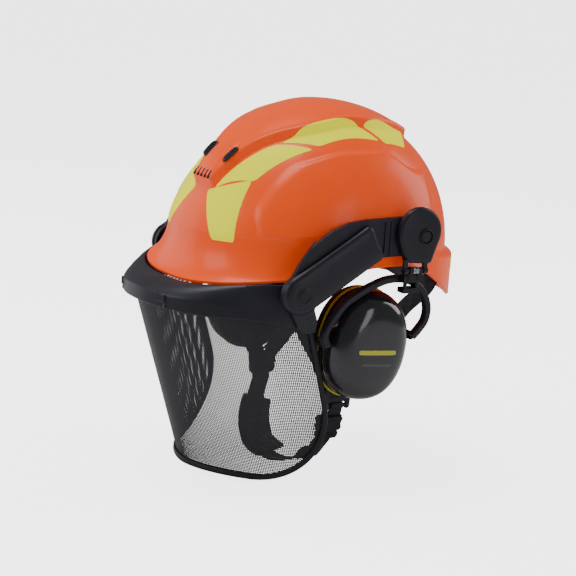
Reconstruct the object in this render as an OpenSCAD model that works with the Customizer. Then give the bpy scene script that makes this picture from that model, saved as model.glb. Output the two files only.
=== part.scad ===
// Forestry helmet set: ventilated shell with harness, mesh visor on swinging arms,
// a pair of sprung ear muffs and a four-point chin strap.
// Axes: +X is the wearer's left, -Y is the front, +Z is up. The origin is the centre of the
// headband on the level where the band grips the head.

/* [Shell] */
// Half width of the dome at its base
dome_half_w = 106; // [104:1:107]
// Reach of the dome in front of the ear line
dome_front = 128; // [125:1:130]
// Reach of the dome behind the ear line
dome_rear = 126; // [124:1:128]
// Height of the dome's crown above the wearing level, without the crest
dome_h = 146; // [140:1:150]
// Wall thickness of the shell
wall = 3; // [2.4:0.2:3.6]
// Reach of the peak in front of the ear line
peak_reach = 143; // [140:1:145]
// How far the crest stands above the dome
crest_rise = 5.5; // [3:0.5:7]
// Thickness of the reflective strips
strip_t = 0.8; // [0.4:0.1:1.2]

/* [Harness] */
// Half width of the headband
band_half_w = 80; // [76:1:82]
// Half length of the headband
band_half_l = 99; // [95:1:101]
// Height of the headband
band_h = 30; // [24:1:34]
// Width of the crown straps
crown_strap_w = 18; // [14:1:22]
// Radius of the nape knob
knob_r = 15; // [12:1:16]

/* [Visor] */
// Half width of the visor between its side rails
visor_half_w = 100; // [98:1:101]
// Depth of the visor's curve from its side rails to its front
visor_depth = 104; // [102:1:106]
// Length of the visor down its slope
visor_len = 177; // [165:1:180]
// Slope of the visor from upright
visor_lean = 17; // [15:0.5:19]
// Radius of the rounding at the visor's lower corners
visor_corner = 76; // [60:2:78]
// Thickness of the mesh sheet
mesh_t = 1; // [0.8:0.1:1.4]
// Thickness of the rail round the mesh
rail_t = 4.6; // [4:0.2:5]
// Height of the brow guard's outer lip
lip_h = 11; // [9:1:12]

/* [Arms] */
// Height of the rear pivot above the wearing level
rear_pivot_z = 49; // [48:0.5:50]
// Distance of the rear pivot behind the ear line
rear_pivot_y = 43; // [42:0.5:44]
// Distance of the front pivot in front of the ear line
front_pivot_y = 77; // [76:0.5:78]
// Height of the front pivot above the wearing level
front_pivot_z = 4; // [3:0.5:5]
// Radius of the arm's front disc
disc_r = 17; // [16:0.5:18]
// Radius of the rear pivot shaft
shaft_r = 5; // [4:0.5:6]

/* [Ear muffs] */
// Height of an ear cup
cup_h = 103; // [98:1:104]
// Width of an ear cup
cup_w = 79; // [74:1:80]
// Lean of an ear cup's long axis towards the rear
cup_lean = 8; // [4:1:8]
// Distance from the middle of the head to the cushions' faces
ear_gap = 73; // [73:0.5:75]

/* [Straps] */
// Width of the chin webbing
web_w = 18; // [15:1:20]
// Thickness of the chin webbing
web_t = 1.5; // [1.2:0.1:1.8]

/* [Hidden] */
$fn = 48;
gap = 0.3;
run_fit = 0.05;

// ---- shell surface -------------------------------------------------------
// Smooth step from 0 to 1 as t goes from a to b
function ease(a, b, t) = let (u = min(1, max(0, (t - a) / (b - a)))) u * u * (3 - 2 * u);
// Radius of a superellipse with half width a and half lengths f (front) and r (rear)
function oval(phi, a, f, r, n) =
    pow(pow(abs(sin(phi)) / a, n) + pow(abs(cos(phi)) / (cos(phi) > 0 ? f : r), n), -1 / n);
// Turns from the front (0) by the wearer's left (90) to the rear (180)
function spread(phi) = abs(phi > 180 ? 360 - phi : phi);

base_z = 20;
rim_half_w = 109;
neck_reach = 134;
dome_n = 2.3;
function rim_n(phi) = 2.5 + (dome_n - 2.5) * ease(60, 120, spread(phi));
// Height where the dome turns into the rim flare
function crease_z(phi) = 42 + 3 * ease(30, 80, spread(phi)) - 19 * ease(95, 140, spread(phi));
// Height of the rim's lower edge
function rim_z(phi) = 3 + 10 * ease(5, 58, spread(phi)) + 10 * ease(60, 95, spread(phi))
    - 43 * ease(105, 158, spread(phi));
// The rim is narrower beside the peak, where the visor's arms pass it
front_rim_w = rim_half_w - 3.5;
function rim_r(phi) = oval(phi, front_rim_w + 3.5 * ease(60, 95, spread(phi)),
    peak_reach, neck_reach, rim_n(phi));
// Shape power of the dome's profile: rounder in front
function profile_n(phi) = 2.17 - 0.37 * ease(-0.1, 1, cos(phi));
function dome_rz(phi, z) = let (m = profile_n(phi), k = (z - base_z) / (dome_h - base_z))
    [oval(phi, dome_half_w, dome_front, dome_rear, dome_n) * pow(1 - pow(k, m), 1 / m), z];
// Profile of the shell: s from 0 at the crown to 1 at the crease, and to 2 at the rim
function profile(phi, s) = s <= 1
    ? let (zc = crease_z(phi), m = profile_n(phi), k1 = (zc - base_z) / (dome_h - base_z),
           t0 = asin(pow(k1, m / 2)), t = 90 - (90 - t0) * max(s, 0), k = pow(sin(t), 2 / m))
        [oval(phi, dome_half_w, dome_front, dome_rear, dome_n) * pow(cos(t), 2 / m),
         base_z + (dome_h - base_z) * k]
    : let (c = profile(phi, 1), u = s - 1, back = ease(105, 150, spread(phi)),
           reach = rim_r(phi) - c.x,
           fillet = (1 - cos(66 * u)) / (1 - cos(66)), ledge = ease(0, 0.16, u),
           drop = sin(66 * u) / sin(66))
        [c.x + reach * (fillet * (1 - back) + ledge * back),
         c.y + (rim_z(phi) - c.y) * (drop * (1 - back) + u * back)];
function profile_normal(phi, s) =
    let (d = profile(phi, min(s + 0.02, 2)) - profile(phi, max(s - 0.02, 0)), l = norm(d))
    [-d.y / l, d.x / l];
// Half width of the crest along the helmet
function crest_half(y) = 15 + 34 * ease(-118, -15, y) - 14 * ease(15, 75, y);
// How far the features stand above the dome at a point of it
function relief(p) = let (w = crest_half(p.y), ax = abs(p.x))
    crest_rise * (1 - ease(w - 5, w + 2, ax)) * ease(-112, -100, p.y) * (1 - ease(68, 76, p.y))
        * ease(70, 84, p.z)
    + 2.2 * ease(-97, -90, p.y) * (1 - ease(62, 76, p.y)) * ease(44, 50, p.z)
        * (1 - ease(100 + 12 * ease(-70, -10, p.y) - 18 * ease(20, 60, p.y),
                    108 + 12 * ease(-70, -10, p.y) - 18 * ease(20, 60, p.y), p.z)) * ease(60, 72, ax);
function shell_point(phi, s, lift) =
    let (q = profile(phi, s), n = profile_normal(phi, s),
         p = [q.x * sin(phi), -q.x * cos(phi), q.y],
         h = lift + (s < 1.02 ? relief(p) : 0))
    [p.x + h * n.x * sin(phi), p.y - h * n.x * cos(phi), p.z + h * n.y];

// ---- solids from rings of points -----------------------------------------
// Six times the signed volume inside a set of faces
function volume6(p, faces) = let (v = [for (f = faces) for (i = [1 : len(f) - 2])
        p[f[0]] * cross(p[f[i]], p[f[i + 1]])]) v * [for (x = v) 1];
// A polyhedron whose faces are turned outwards whichever way its points run
module solid(points, faces) polyhedron(points,
    volume6(points, faces) < 0 ? faces : [for (f = faces) [for (i = [len(f) - 1 : -1 : 0]) f[i]]],
    convexity = 8);
// Rings of equal length joined into a closed solid; a loop joins the last ring to the first
module loft(rings, loop = false) {
    n = len(rings);
    m = len(rings[0]);
    walls = [for (i = [0 : n - (loop ? 1 : 2)]) for (j = [0 : m - 1])
        let (a = i * m, b = (i + 1) % n * m, k = (j + 1) % m)
        each [[a + j, a + k, b + j], [a + k, b + k, b + j]]];
    ends = loop ? [] : [[for (j = [m - 1 : -1 : 0]) j], [for (j = [0 : m - 1]) (n - 1) * m + j]];
    solid([for (r = rings) each r], concat(walls, ends));
}
// Point at u (0 to 1) along a smooth curve through points
function curve(pts, u) = let (n = len(pts) - 1, i = min(n - 1, floor(u * n)), t = u * n - i,
        a = pts[max(0, i - 1)], b = pts[i], c = pts[i + 1], d = pts[min(n, i + 2)])
    0.5 * (2 * b + (c - a) * t + (2 * a - 5 * b + 4 * c - d) * t * t
        + (3 * b - a - 3 * c + d) * t * t * t);
function unit(v) = v / norm(v);
// Flat rectangle rings along a curve: side is the direction of the width
function strap_rings(pts, side, w, t, steps) = [for (i = [0 : steps])
    let (u = i / steps, p = curve(pts, u),
         d = unit(curve(pts, min(1, u + 0.01)) - curve(pts, max(0, u - 0.01))),
         s = unit(side - (side * d) * d), n = cross(d, s))
    [p + s * w / 2 + n * t / 2, p - s * w / 2 + n * t / 2,
     p - s * w / 2 - n * t / 2, p + s * w / 2 - n * t / 2]];
module strap(pts, side, w, t, steps = 16) loft(strap_rings(pts, side, w, t, steps));
module along_x(x, y, z) translate([x, y, z]) rotate([0, 90, 0]) children();
module along_y(x, y, z) translate([x, y, z]) rotate([-90, 0, 0]) children();

// ---- shell and strips ----------------------------------------------------
turn_steps = 72;
dome_steps = 14;
rim_steps = 6;
module shell() {
    m = turn_steps;
    levels = [for (i = [1 : dome_steps]) i / dome_steps, for (i = [1 : rim_steps]) 1 + i / rim_steps];
    k = len(levels);
    skin = [for (s = levels) each [for (j = [0 : m - 1]) shell_point(360 * j / m, s, 0)]];
    lining = [for (s = levels) each [for (j = [0 : m - 1]) shell_point(360 * j / m, s, -wall)]];
    top = 2 * k * m;
    crown = [0, 0, dome_h + crest_rise];
    color("orangered")
    solid(concat(skin, lining, [crown, crown - [0, 0, wall]]), concat(
        [for (i = [0 : k - 2]) for (j = [0 : m - 1]) let (a = i * m, b = a + m, n = (j + 1) % m)
            each [[a + j, b + j, a + n], [a + n, b + j, b + n]]],
        [for (i = [0 : k - 2]) for (j = [0 : m - 1]) let (a = (k + i) * m, b = a + m, n = (j + 1) % m)
            each [[a + j, a + n, b + j], [a + n, b + n, b + j]]],
        [for (j = [0 : m - 1]) let (a = (k - 1) * m, b = (2 * k - 1) * m, n = (j + 1) % m)
            each [[a + j, b + j, a + n], [a + n, b + j, b + n]]],
        [for (j = [0 : m - 1]) [top, j, (j + 1) % m]],
        [for (j = [0 : m - 1]) [top + 1, k * m + (j + 1) % m, k * m + j]]));
}
// Corners of the five strips on one side, as [x, y] seen from above or [x, z] seen from the front
front_strip = [[10, 75], [46, 88], [57, 39], [37, 37]];
top_strips = [
    [[17, -110], [38, -65], [62, -40], [50, -90]],
    [[41, -60], [50, 10], [65, 26], [62, -34]],
    [[50, 17], [36, 70], [62, 56], [66, 32]]];
// Height of the dome above a point seen from above
function dome_z(x, y) = let (phi = atan2(x, -y), m = profile_n(phi),
        r = norm([x, y]) / oval(phi, dome_half_w, dome_front, dome_rear, dome_n))
    base_z + (dome_h - base_z) * pow(1 - pow(min(r, 0.999), m), 1 / m);
// Reach of the dome in front of a point seen from the front
function front_y(x, z) = let (m = profile_n(atan2(x, 100)),
        q = pow(1 - pow((z - base_z) / (dome_h - base_z), m), 1 / m))
    -dome_front * q * pow(1 - pow(x / (dome_half_w * q), dome_n), 1 / dome_n);
// Point inside four corners
function inside4(c, u, v) = (c[0] * (1 - u) + c[1] * u) * (1 - v) + (c[3] * (1 - u) + c[2] * u) * v;
// A sheet over a grid of points with a thickness along each point's own direction
module sheet(grid, dirs, t) {
    n = len(grid);
    m = len(grid[0]);
    all = concat([for (i = [0 : n - 1]) each [for (j = [0 : m - 1]) grid[i][j] + dirs[i][j] * t]],
                 [for (i = [0 : n - 1]) each [for (j = [0 : m - 1]) grid[i][j]]]);
    h = n * m;
    edge = concat([for (j = [0 : m - 1]) j], [for (i = [1 : n - 1]) i * m + m - 1],
                  [for (j = [m - 2 : -1 : 0]) (n - 1) * m + j], [for (i = [n - 2 : -1 : 1]) i * m]);
    e = len(edge);
    solid(all, concat(
        [for (i = [0 : n - 2]) for (j = [0 : m - 2]) let (a = i * m + j, b = a + m)
            each [[a, a + 1, b], [a + 1, b + 1, b]]],
        [for (i = [0 : n - 2]) for (j = [0 : m - 2]) let (a = h + i * m + j, b = a + m)
            each [[a, b, a + 1], [a + 1, b, b + 1]]],
        [for (j = [0 : e - 1]) let (a = edge[j], b = edge[(j + 1) % e])
            each [[a, h + a, b], [b, h + a, h + b]]]));
}
module strips() color("yellow") {
    lift = crest_rise + 0.6;
    centre = [0, 0, base_z];
    fg = [for (i = [0 : 6]) [for (j = [0 : 6]) let (q = inside4(front_strip, i / 6, j / 6),
        p = [q.x, front_y(q.x, q.y), q.y]) p + unit(p - centre) * 0.4]];
    sheet(fg, [for (r = fg) [for (p = r) unit(p - centre)]], strip_t);
    for (c = top_strips) {
        g = [for (i = [0 : 8]) [for (j = [0 : 4]) let (q = inside4(c, i / 8, j / 4),
            p = [q.x, q.y, dome_z(q.x, q.y)],
            w = 1 - ease(crest_half(q.y) - 5, crest_half(q.y) + 2, abs(q.x)))
            p + unit(p - centre) * (0.5 + w * lift)]];
        sheet(g, [for (r = g) [for (p = r) unit(p - centre)]], strip_t);
    }
}
// Strip round the back of the neck guard, by angle and by share of the way down it
neck_strip = [146, 172, 0.2, 0.46];
module neck_patch() color("yellow") {
    n = 8;
    g = [for (i = [0 : n]) [for (j = [0 : 3]) shell_point(neck_strip[0] + (neck_strip[1] - neck_strip[0]) * i / n,
        1 + neck_strip[2] + (neck_strip[3] - neck_strip[2]) * j / 3, 0.5)]];
    sheet(g, [for (r = g) [for (p = r) unit([p.x, p.y, 0])]], strip_t);
}
module reflective_strips_left() {
    strips();
    neck_patch();
}
module reflective_strips_right() mirror([1, 0, 0]) reflective_strips_left();

// ---- ventilation ---------------------------------------------------------
slider_x = 17;
slider_y = -93;
slider_slope = 46;
module at_slider(lift) {
    z = dome_z(slider_x, slider_y) + crest_rise * 0.8 / cos(slider_slope);
    translate([slider_x, slider_y, z]) rotate([slider_slope, 6, 0]) translate([0, 0, lift]) children();
}
module vent_slider() color("black") at_slider(1.2) {
    hull() for (y = [-5, 5]) translate([0, y, 0]) cylinder(r = 4, h = 2.4, $fn = 32);
    for (y = [-6 : 2 : 6]) translate([-2.6, y - 0.4, 2.2]) cube([5.2, 0.8, 1]);
}
module vent_shutter() color("dimgray") at_slider(-wall - 6.4) translate([-10, -10, 0]) cube([12, 20, 1.2]);
module vent_slider_left() vent_slider();
module vent_slider_right() mirror([1, 0, 0]) vent_slider();
module vent_shutter_left() vent_shutter();
module vent_shutter_right() mirror([1, 0, 0]) vent_shutter();

// ---- harness -------------------------------------------------------------
band_z = 14;
band_t = 1.8;
// Rings of a band round the head from one angle to another
function band_rings(from, to, steps, lift, t, z0, h, drop) = [for (i = [0 : steps])
    let (phi = from + (to - from) * i / steps, r = oval(phi, band_half_w, band_half_l, band_half_l, 2.3) + lift,
         z = z0 - drop * ease(90, 150, spread(phi)), c = [sin(phi), -cos(phi), 0])
    [c * r + [0, 0, z], c * (r + t) + [0, 0, z], c * (r + t) + [0, 0, z + h], c * r + [0, 0, z + h]]];
module headband() color("black") loft(band_rings(-102, 102, 48, 0, band_t, band_z, band_h, 0));
module sweatband() color("dimgray") loft(band_rings(-62, 62, 28, -4.3, 4, band_z + 1, band_h - 2, 0));
module nape_band() color("black") loft(band_rings(100, 260, 40, band_t + 1.4, band_t, band_z + 4, 20, 24));
nape_z = band_z + 4 - 24 + 10;
nape_y = band_half_l + 2 * band_t + 1.4;
module nape_pad() color("dimgray") loft(band_rings(158, 202, 12, band_t - 3.2, 4, band_z + 3, 22, 24));
module nape_housing() color("black") difference() {
    union() {
        hull() for (x = [-26, 26]) along_y(x, nape_y + 1.2, nape_z) cylinder(r = 12, h = 8, $fn = 32);
        along_y(0, nape_y + 9, nape_z) cylinder(r = 9, h = 2);
    }
    along_y(0, nape_y, nape_z) cylinder(r = 4 + run_fit, h = 30);
    along_y(0, nape_y - 34, nape_z) cylinder(r = 36, h = 30);
}
module nape_knob() color("black") {
    difference() {
        along_y(0, nape_y + 11.5, nape_z) cylinder(r = knob_r, h = 9);
        for (a = [0 : 30 : 330]) along_y(knob_r * cos(a), nape_y + 11, nape_z + knob_r * sin(a))
            cylinder(r = 1.6, h = 12, $fn = 24);
    }
    along_y(0, nape_y + 4, nape_z) cylinder(r = 4, h = 8);
}
// Radius of the dome's inner wall at an angle and a height
function inner_r(phi, z) = dome_rz(phi, z).x - wall;
crown_z = 116;
module crown_strap(phi, layer) {
    r = inner_r(phi, 34) - 5;
    q = inner_r(180 + phi, 34) - 5;
    a = [sin(phi), -cos(phi), 0];
    top = crown_z + layer * 2;
    color("black") strap([a * r + [0, 0, 30], a * r * 0.93 + [0, 0, 66], a * r * 0.62 + [0, 0, 98],
        a * r * 0.25 + [0, 0, top - 2], [0, 0, top], -a * q * 0.25 + [0, 0, top - 2],
        -a * q * 0.62 + [0, 0, 98], -a * q * 0.93 + [0, 0, 66], -a * q + [0, 0, 30]],
        [cos(phi), sin(phi), 0], crown_strap_w, 1.4, 32);
}
module crown_strap_front() crown_strap(32, 2);
module crown_strap_middle() crown_strap(90, 0);
module crown_strap_rear() crown_strap(148, 1);
clip_angles = [32, 90, 148, 212, 270, 328];
module harness_clips() color("dimgray") for (phi = clip_angles) {
    r0 = oval(phi, band_half_w, band_half_l, band_half_l, 2.3) + band_t - 0.5;
    z0 = 32;
    r1 = inner_r(phi, z0 + 4) + 0.6;
    rotate([0, 0, phi - 90]) {
        if (spread(phi) < 100) translate([r0, -6, z0]) cube([r1 - r0 - 1, 12, 4]);
        translate([r1 - 8, -8, z0 - 2]) cube([7.4, 16, 12]);
    }
}

// ---- side adapters and visor arms ----------------------------------------
core_x = 108;
core_t = 5;
cover_x = core_x + core_t + gap;
cover_t = 6.2;
bracket_x = cover_x + 0.2;
bracket_t = 6.5;
module plate_x(x, t) translate([x, 0, 0]) rotate([90, 0, 90]) linear_extrude(t) children();
module slot_adapter() color("black") {
    along_x(98, rear_pivot_y, rear_pivot_z) cylinder(r = 13, h = core_x - 98 - 0.4);
    translate([101, rear_pivot_y - 10, 27]) cube([core_x - 101 - 0.4, 20, 20]);
    along_x(104, rear_pivot_y, rear_pivot_z) cylinder(r = shaft_r, h = bracket_x + bracket_t - 104);
}
module slot_adapter_left() slot_adapter();
module slot_adapter_right() mirror([1, 0, 0]) slot_adapter();
module pivot_button() color("black") along_x(bracket_x + bracket_t, rear_pivot_y, rear_pivot_z) {
    cylinder(r = shaft_r, h = 0.6);
    translate([0, 0, 0.4]) cylinder(r = 7, h = 1.6);
}
module pivot_button_left() pivot_button();
module pivot_button_right() mirror([1, 0, 0]) pivot_button();
screw_r = 4;
module arm_core() color("black") difference() {
    plate_x(core_x, core_t) {
        translate([rear_pivot_y, rear_pivot_z]) circle(r = 16.5);
        translate([-front_pivot_y, front_pivot_z]) circle(r = disc_r - 0.6);
        polygon([[-86, 16], [-78, 30], [-69, 41], [-59, 50], [-47, 57], [-31, 62.5], [-14, 64.5],
            [4, 65], [26, 66], [rear_pivot_y, 65], [rear_pivot_y, 34], [30, 32], [4, 32], [-30, 16], [-68, -8]]);
    }
    along_x(core_x - 1, rear_pivot_y, rear_pivot_z) cylinder(r = shaft_r + run_fit, h = core_t + 2);
    along_x(core_x - 1, -front_pivot_y, front_pivot_z) cylinder(r = screw_r + run_fit, h = core_t + 2);
}
module arm_core_left() arm_core();
module arm_core_right() mirror([1, 0, 0]) arm_core();
module visor_arm() color("black") difference() {
    hull() {
        along_x(cover_x, -front_pivot_y, front_pivot_z) cylinder(r = disc_r, h = cover_t - 1, $fn = 32);
        along_x(cover_x, -front_pivot_y, front_pivot_z) cylinder(r = disc_r - 2, h = cover_t, $fn = 32);
        along_x(cover_x, -8, 44.5) cylinder(r = 15.5, h = cover_t - 2, $fn = 32);
        along_x(cover_x, -8, 44.5) cylinder(r = 8, h = cover_t + 2, $fn = 32);
    }
    along_x(cover_x - 1, -front_pivot_y, front_pivot_z) cylinder(r = screw_r + run_fit, h = 20);
    along_x(cover_x + cover_t - 1.5, -front_pivot_y, front_pivot_z) cylinder(r = 7.2, h = 20);
}
module visor_arm_left() visor_arm();
module visor_arm_right() mirror([1, 0, 0]) visor_arm();
ear_x = 104;
module screw() along_x(ear_x - 0.2, -front_pivot_y, front_pivot_z) {
    cylinder(r = screw_r, h = cover_x + cover_t - 1.2 - ear_x);
    translate([0, 0, cover_x + cover_t - 1.2 - ear_x]) cylinder(r = 6.8, h = 1.8);
}
module visor_pivot_screws() color("black") {
    screw();
    mirror([1, 0, 0]) screw();
}

// ---- visor ---------------------------------------------------------------
lip_turn = 62;
lip_half_w = 112;
lip_reach = 170.5;
guard_t = 2.4;
function lip_r(phi) = oval(phi, lip_half_w, lip_reach, lip_reach, 2.15);
function lip_low(phi) = -19 - 2 * ease(0, 30, spread(phi)) - 12 * ease(35, 70, spread(phi));
function guard_rings(steps) = [for (i = [0 : steps])
    let (phi = -lip_turn + 2 * lip_turn * i / steps, c = [sin(phi), -cos(phi), 0],
         r = lip_r(phi), u = min(oval(phi, front_rim_w + 3.5, peak_reach + 3.5, 100, 2.5), r),
         z0 = lip_low(phi), z1 = z0 + lip_h, z2 = min(9, rim_z(phi) - 2))
    [c * (u - guard_t) + [0, 0, z2 - 1], c * u + [0, 0, z2], c * r + [0, 0, z1], c * r + [0, 0, z0],
     c * (r - guard_t) + [0, 0, z0], c * (r - guard_t) + [0, 0, z1 - 1]]];
module guard_ear() difference() {
    plate_x(ear_x, core_x - ear_x - 0.4) hull() {
        translate([-front_pivot_y, front_pivot_z]) circle(r = 13, $fn = 32);
        translate([-61, -23]) circle(r = 7, $fn = 32);
    }
    along_x(ear_x - 1, -front_pivot_y, front_pivot_z) cylinder(r = screw_r + run_fit, h = 8);
}
module brow_guard() color("black") loft(guard_rings(44));
visor_back = -65;
visor_n = 1.72;
turn_h = visor_half_w * 1.45;
// Point of the visor's sheet: u round it, s down its slope
function visor_point(u, s) = let (t = u / turn_h * 90,
        r = pow(pow(abs(sin(t)), visor_n) + pow(abs(cos(t)), visor_n), -1 / visor_n),
        k = 1 - 0.05 * s / 180)
    [visor_half_w * k * r * sin(t), visor_back - visor_depth * k * r * cos(t) + sin(visor_lean) * s,
     -cos(visor_lean) * s];
function visor_out(u) = let (t = u / turn_h * 90) unit([sin(t), -cos(t), 0]);
function visor_top(u) = 12 + 18 * ease(0.5, 1, abs(u) / turn_h);
function visor_edge(u) = let (a = abs(u) - (turn_h - visor_corner))
    a <= 0 ? visor_len : visor_len - visor_corner + sqrt(max(0, pow(visor_corner, 2) - a * a));
module visor_mesh() color("dimgray") {
    n = 32;
    m = 14;
    us = [for (i = [0 : n]) turn_h * sin(-90 + 180 * i / n)];
    grid = [for (u = us) [for (j = [0 : m]) let (s0 = visor_top(u), s1 = visor_edge(u) - 0.5)
        visor_point(u, s0 + (s1 - s0) * j / m)]];
    sheet(grid, [for (u = us) [for (j = [0 : m]) -visor_out(u)]], mesh_t);
}
// Point of the rail's line: k from 0 at the left top by the bottom to 2 at the right top
function rail_us(k) = let (side = visor_len - visor_corner - 28, arc = visor_corner * PI / 2,
        flat = turn_h - visor_corner, total = side + arc + flat, d = (k <= 1 ? k : 2 - k) * total,
        a = (d - side) / visor_corner * 180 / PI, sgn = k <= 1 ? 1 : -1)
    d <= side ? [sgn * turn_h, 28 + d]
    : d <= side + arc ? [sgn * (flat + visor_corner * cos(a)), visor_len - visor_corner + visor_corner * sin(a)]
    : [sgn * (flat - (d - side - arc)), visor_len];
module visor_frame() color("black") {
    n = 60;
    mid = [for (i = [0 : n]) let (q = rail_us(2 * i / n)) visor_point(q.x, q.y)];
    loft([for (i = [0 : n]) let (q = rail_us(2 * i / n), d = unit(mid[min(n, i + 1)] - mid[max(0, i - 1)]),
        o = unit(visor_out(q.x) - (visor_out(q.x) * d) * d), e = cross(d, o))
        [for (a = [0 : 45 : 315]) mid[i] + (o * cos(a) * 0.62 + e * sin(a)) * rail_t / 2 * 1.15 + o * 1.9]]);
}
clip_x = 34;
module visor_clip() {
    translate([clip_x - 4.5, -lip_r(atan2(clip_x, 165)) * cos(atan2(clip_x, 165)) + 1, -19]) cube([9, 7, 9]);
    translate([99, -62, -32]) cube([6.5, 8, 10]);
}
module visor_brackets() color("dimgray") for (side = [0, 1]) mirror([side, 0, 0]) {
    visor_clip();
    guard_ear();
}

// ---- ear muffs -----------------------------------------------------------
hinge_x = 119;
hinge_z = 19.5;
prong_x = 114.6;
prong_y = [28.5, 40.5];
prong_r = 1.8;
module ear_bracket() color("black") difference() {
    union() {
        plate_x(bracket_x, bracket_t) hull() {
            translate([38, 52]) circle(r = 22, $fn = 32);
            translate([29, 30]) circle(r = 3, $fn = 32);
            translate([49, 23]) circle(r = 3, $fn = 32);
        }
        for (y = [22, 41.6]) {
            along_y(hinge_x, y, hinge_z) cylinder(r = 3, h = 5.4);
            translate([bracket_x + 2, y, hinge_z]) cube([4, 5.4, 12]);
        }
    }
    along_x(bracket_x - 1, rear_pivot_y, rear_pivot_z) cylinder(r = shaft_r + run_fit, h = bracket_t + 2);
    for (y = prong_y) translate([bracket_x - 1, y - 3.2, 10]) cube([4.8, 6.4, 24]);
    along_y(hinge_x, 20, hinge_z) cylinder(r = 1.5 + run_fit, h = 30);
    translate([bracket_x - 1, 27.7, 10]) cube([bracket_t + 4, 13.6, 14.2]);
}
module ear_carrier() color("black") difference() {
    union() {
        for (y = [28, 37.5]) along_y(hinge_x, y, hinge_z) cylinder(r = 3, h = 3.5);
        along_y(hinge_x, 22.2, hinge_z) cylinder(r = 1.5, h = 24.6);
        for (y = [28, 37.5]) translate([hinge_x - 2.5, y, 12]) cube([3, 3.5, 6]);
        translate([112.2, 24, 9]) cube([6.8, 21, 6.5]);
    }
    for (y = prong_y) translate([prong_x, y, 0]) cylinder(r = prong_r + run_fit, h = 40);
}
// Closed turns of the hinge's torsion spring
module ear_spring() color("silver") for (i = [0 : 3])
    along_y(hinge_x, 32.2 + 1.5 * i, hinge_z) rotate_extrude($fn = 24)
        translate([2.6, 0]) circle(r = 0.5, $fn = 16);
yoke_x = 108;
yoke_line = [[-42.5, -44], [-46, -32], [-30.5, -10.5], [-15, -0.5], [-1, 6], [15, 10.5], [31, 10], [45, 4.5],
    [54, -5], [58.5, -17], [57, -28], [51, -36], [44.8, -42]];
tilt_x = 99.6;
tilt_z = -42;
pin_r = 2.5;
front_lug_y = -42.2;
rear_lug_y = 40.2;
module ear_yoke() color("black") {
    n = 40;
    p = [for (i = [0 : n]) let (q = curve(yoke_line, i / n)) [yoke_x, q.x, q.y]];
    loft([for (i = [0 : n]) let (d = unit(p[min(n, i + 1)] - p[max(0, i - 1)]), o = [1, 0, 0], e = cross(d, o))
        [for (a = [30 : 60 : 330]) p[i] + o * cos(a) * 3.9 + e * sin(a) * 3.4]]);
    translate([107, 26, -1]) cube([9.6, 17, 4.5]);
    for (y = prong_y) translate([prong_x, y, 0]) cylinder(r = prong_r, h = 19);
    along_y(tilt_x, rear_lug_y + 1.6, tilt_z) cylinder(r = pin_r, h = 4);
    along_y(tilt_x, front_lug_y - 1.5, tilt_z) cylinder(r = pin_r, h = 4.8);
    translate([tilt_x - 3.5, rear_lug_y + 4.8, tilt_z - 3.5]) cube([10, 3.2, 7]);
    translate([tilt_x - 3.5, front_lug_y - 3.5, tilt_z - 3.5]) cube([10, 3.2, 7]);
}
cup_y = 1;
cup_z = -48;
module at_cup() translate([0, cup_y, cup_z]) rotate([-cup_lean, 0, 0]) children();
function cup_ring(x, grow, n = 40) = [for (i = [0 : n - 1]) let (a = 360 * i / n,
        r = oval(a, cup_w / 2 + grow, cup_h / 2 + grow - 3, cup_h / 2 + grow - 3, 2.2))
    [x, r * sin(a), r * cos(a)]];
cup_x = 92;
// One skin from the bottom of the hollow, over the rim, to the outer face
module cup_shell() color("black") at_cup() loft([cup_ring(cup_x + 26, -17), cup_ring(cup_x + 23, -10.5),
    cup_ring(cup_x + 17, -5.6), cup_ring(cup_x, -4), cup_ring(cup_x, -0.6), cup_ring(cup_x + 3, 0),
    cup_ring(cup_x + 12, -0.8), cup_ring(cup_x + 19, -3.2), cup_ring(cup_x + 24, -6.4),
    cup_ring(cup_x + 28, -11.5), cup_ring(cup_x + 29.5, -17)]);
module pivot_lug(y) difference() {
    translate([tilt_x - 4, y, tilt_z - 4]) cube([8, 4.5, 8]);
    along_y(tilt_x, y - 1, tilt_z) cylinder(r = pin_r + run_fit, h = 7);
}
module cup_plate() color("black") {
    at_cup() difference() {
        loft([cup_ring(cup_x - 3.6, -0.4), cup_ring(cup_x - gap, -0.4)]);
        loft([cup_ring(cup_x - 5, -16), cup_ring(cup_x + 1, -16)]);
    }
    pivot_lug(front_lug_y);
    pivot_lug(rear_lug_y);
}
module ear_cushion() color("black") at_cup() difference() {
    loft([cup_ring(ear_gap, -5), cup_ring(ear_gap + 3, -1.5), cup_ring(ear_gap + 9, 0), cup_ring(ear_gap + 13, -1),
        cup_ring(cup_x - 3.9, -2.6)]);
    loft([cup_ring(ear_gap - 1, -17), cup_ring(cup_x, -15)]);
}
module cushion_piping() color("yellow") at_cup() {
    n = 40;
    ring = cup_ring(cup_x - 4.4, 0);
    loft([for (i = [0 : n - 1]) let (o = unit([0, ring[i].y, ring[i].z]))
        [for (a = [0 : 60 : 300]) ring[i] + o * (0.2 + 1.2 * cos(a)) - [1.2 * sin(a), 0, 0]]], loop = true);
}
module ear_foam() color("dimgray") at_cup()
    loft([cup_ring(ear_gap + 9, -17.8, 24), cup_ring(ear_gap + 10.5, -17, 24), cup_ring(cup_x - 1, -17, 24)]);
module ear_bracket_left() ear_bracket();
module ear_bracket_right() mirror([1, 0, 0]) ear_bracket();
module ear_carrier_left() ear_carrier();
module ear_carrier_right() mirror([1, 0, 0]) ear_carrier();
module ear_spring_left() ear_spring();
module ear_spring_right() mirror([1, 0, 0]) ear_spring();
module ear_yoke_left() ear_yoke();
module ear_yoke_right() mirror([1, 0, 0]) ear_yoke();
module cup_shell_left() cup_shell();
module cup_shell_right() mirror([1, 0, 0]) cup_shell();
module cup_plate_left() cup_plate();
module cup_plate_right() mirror([1, 0, 0]) cup_plate();
module ear_cushion_left() ear_cushion();
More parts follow.
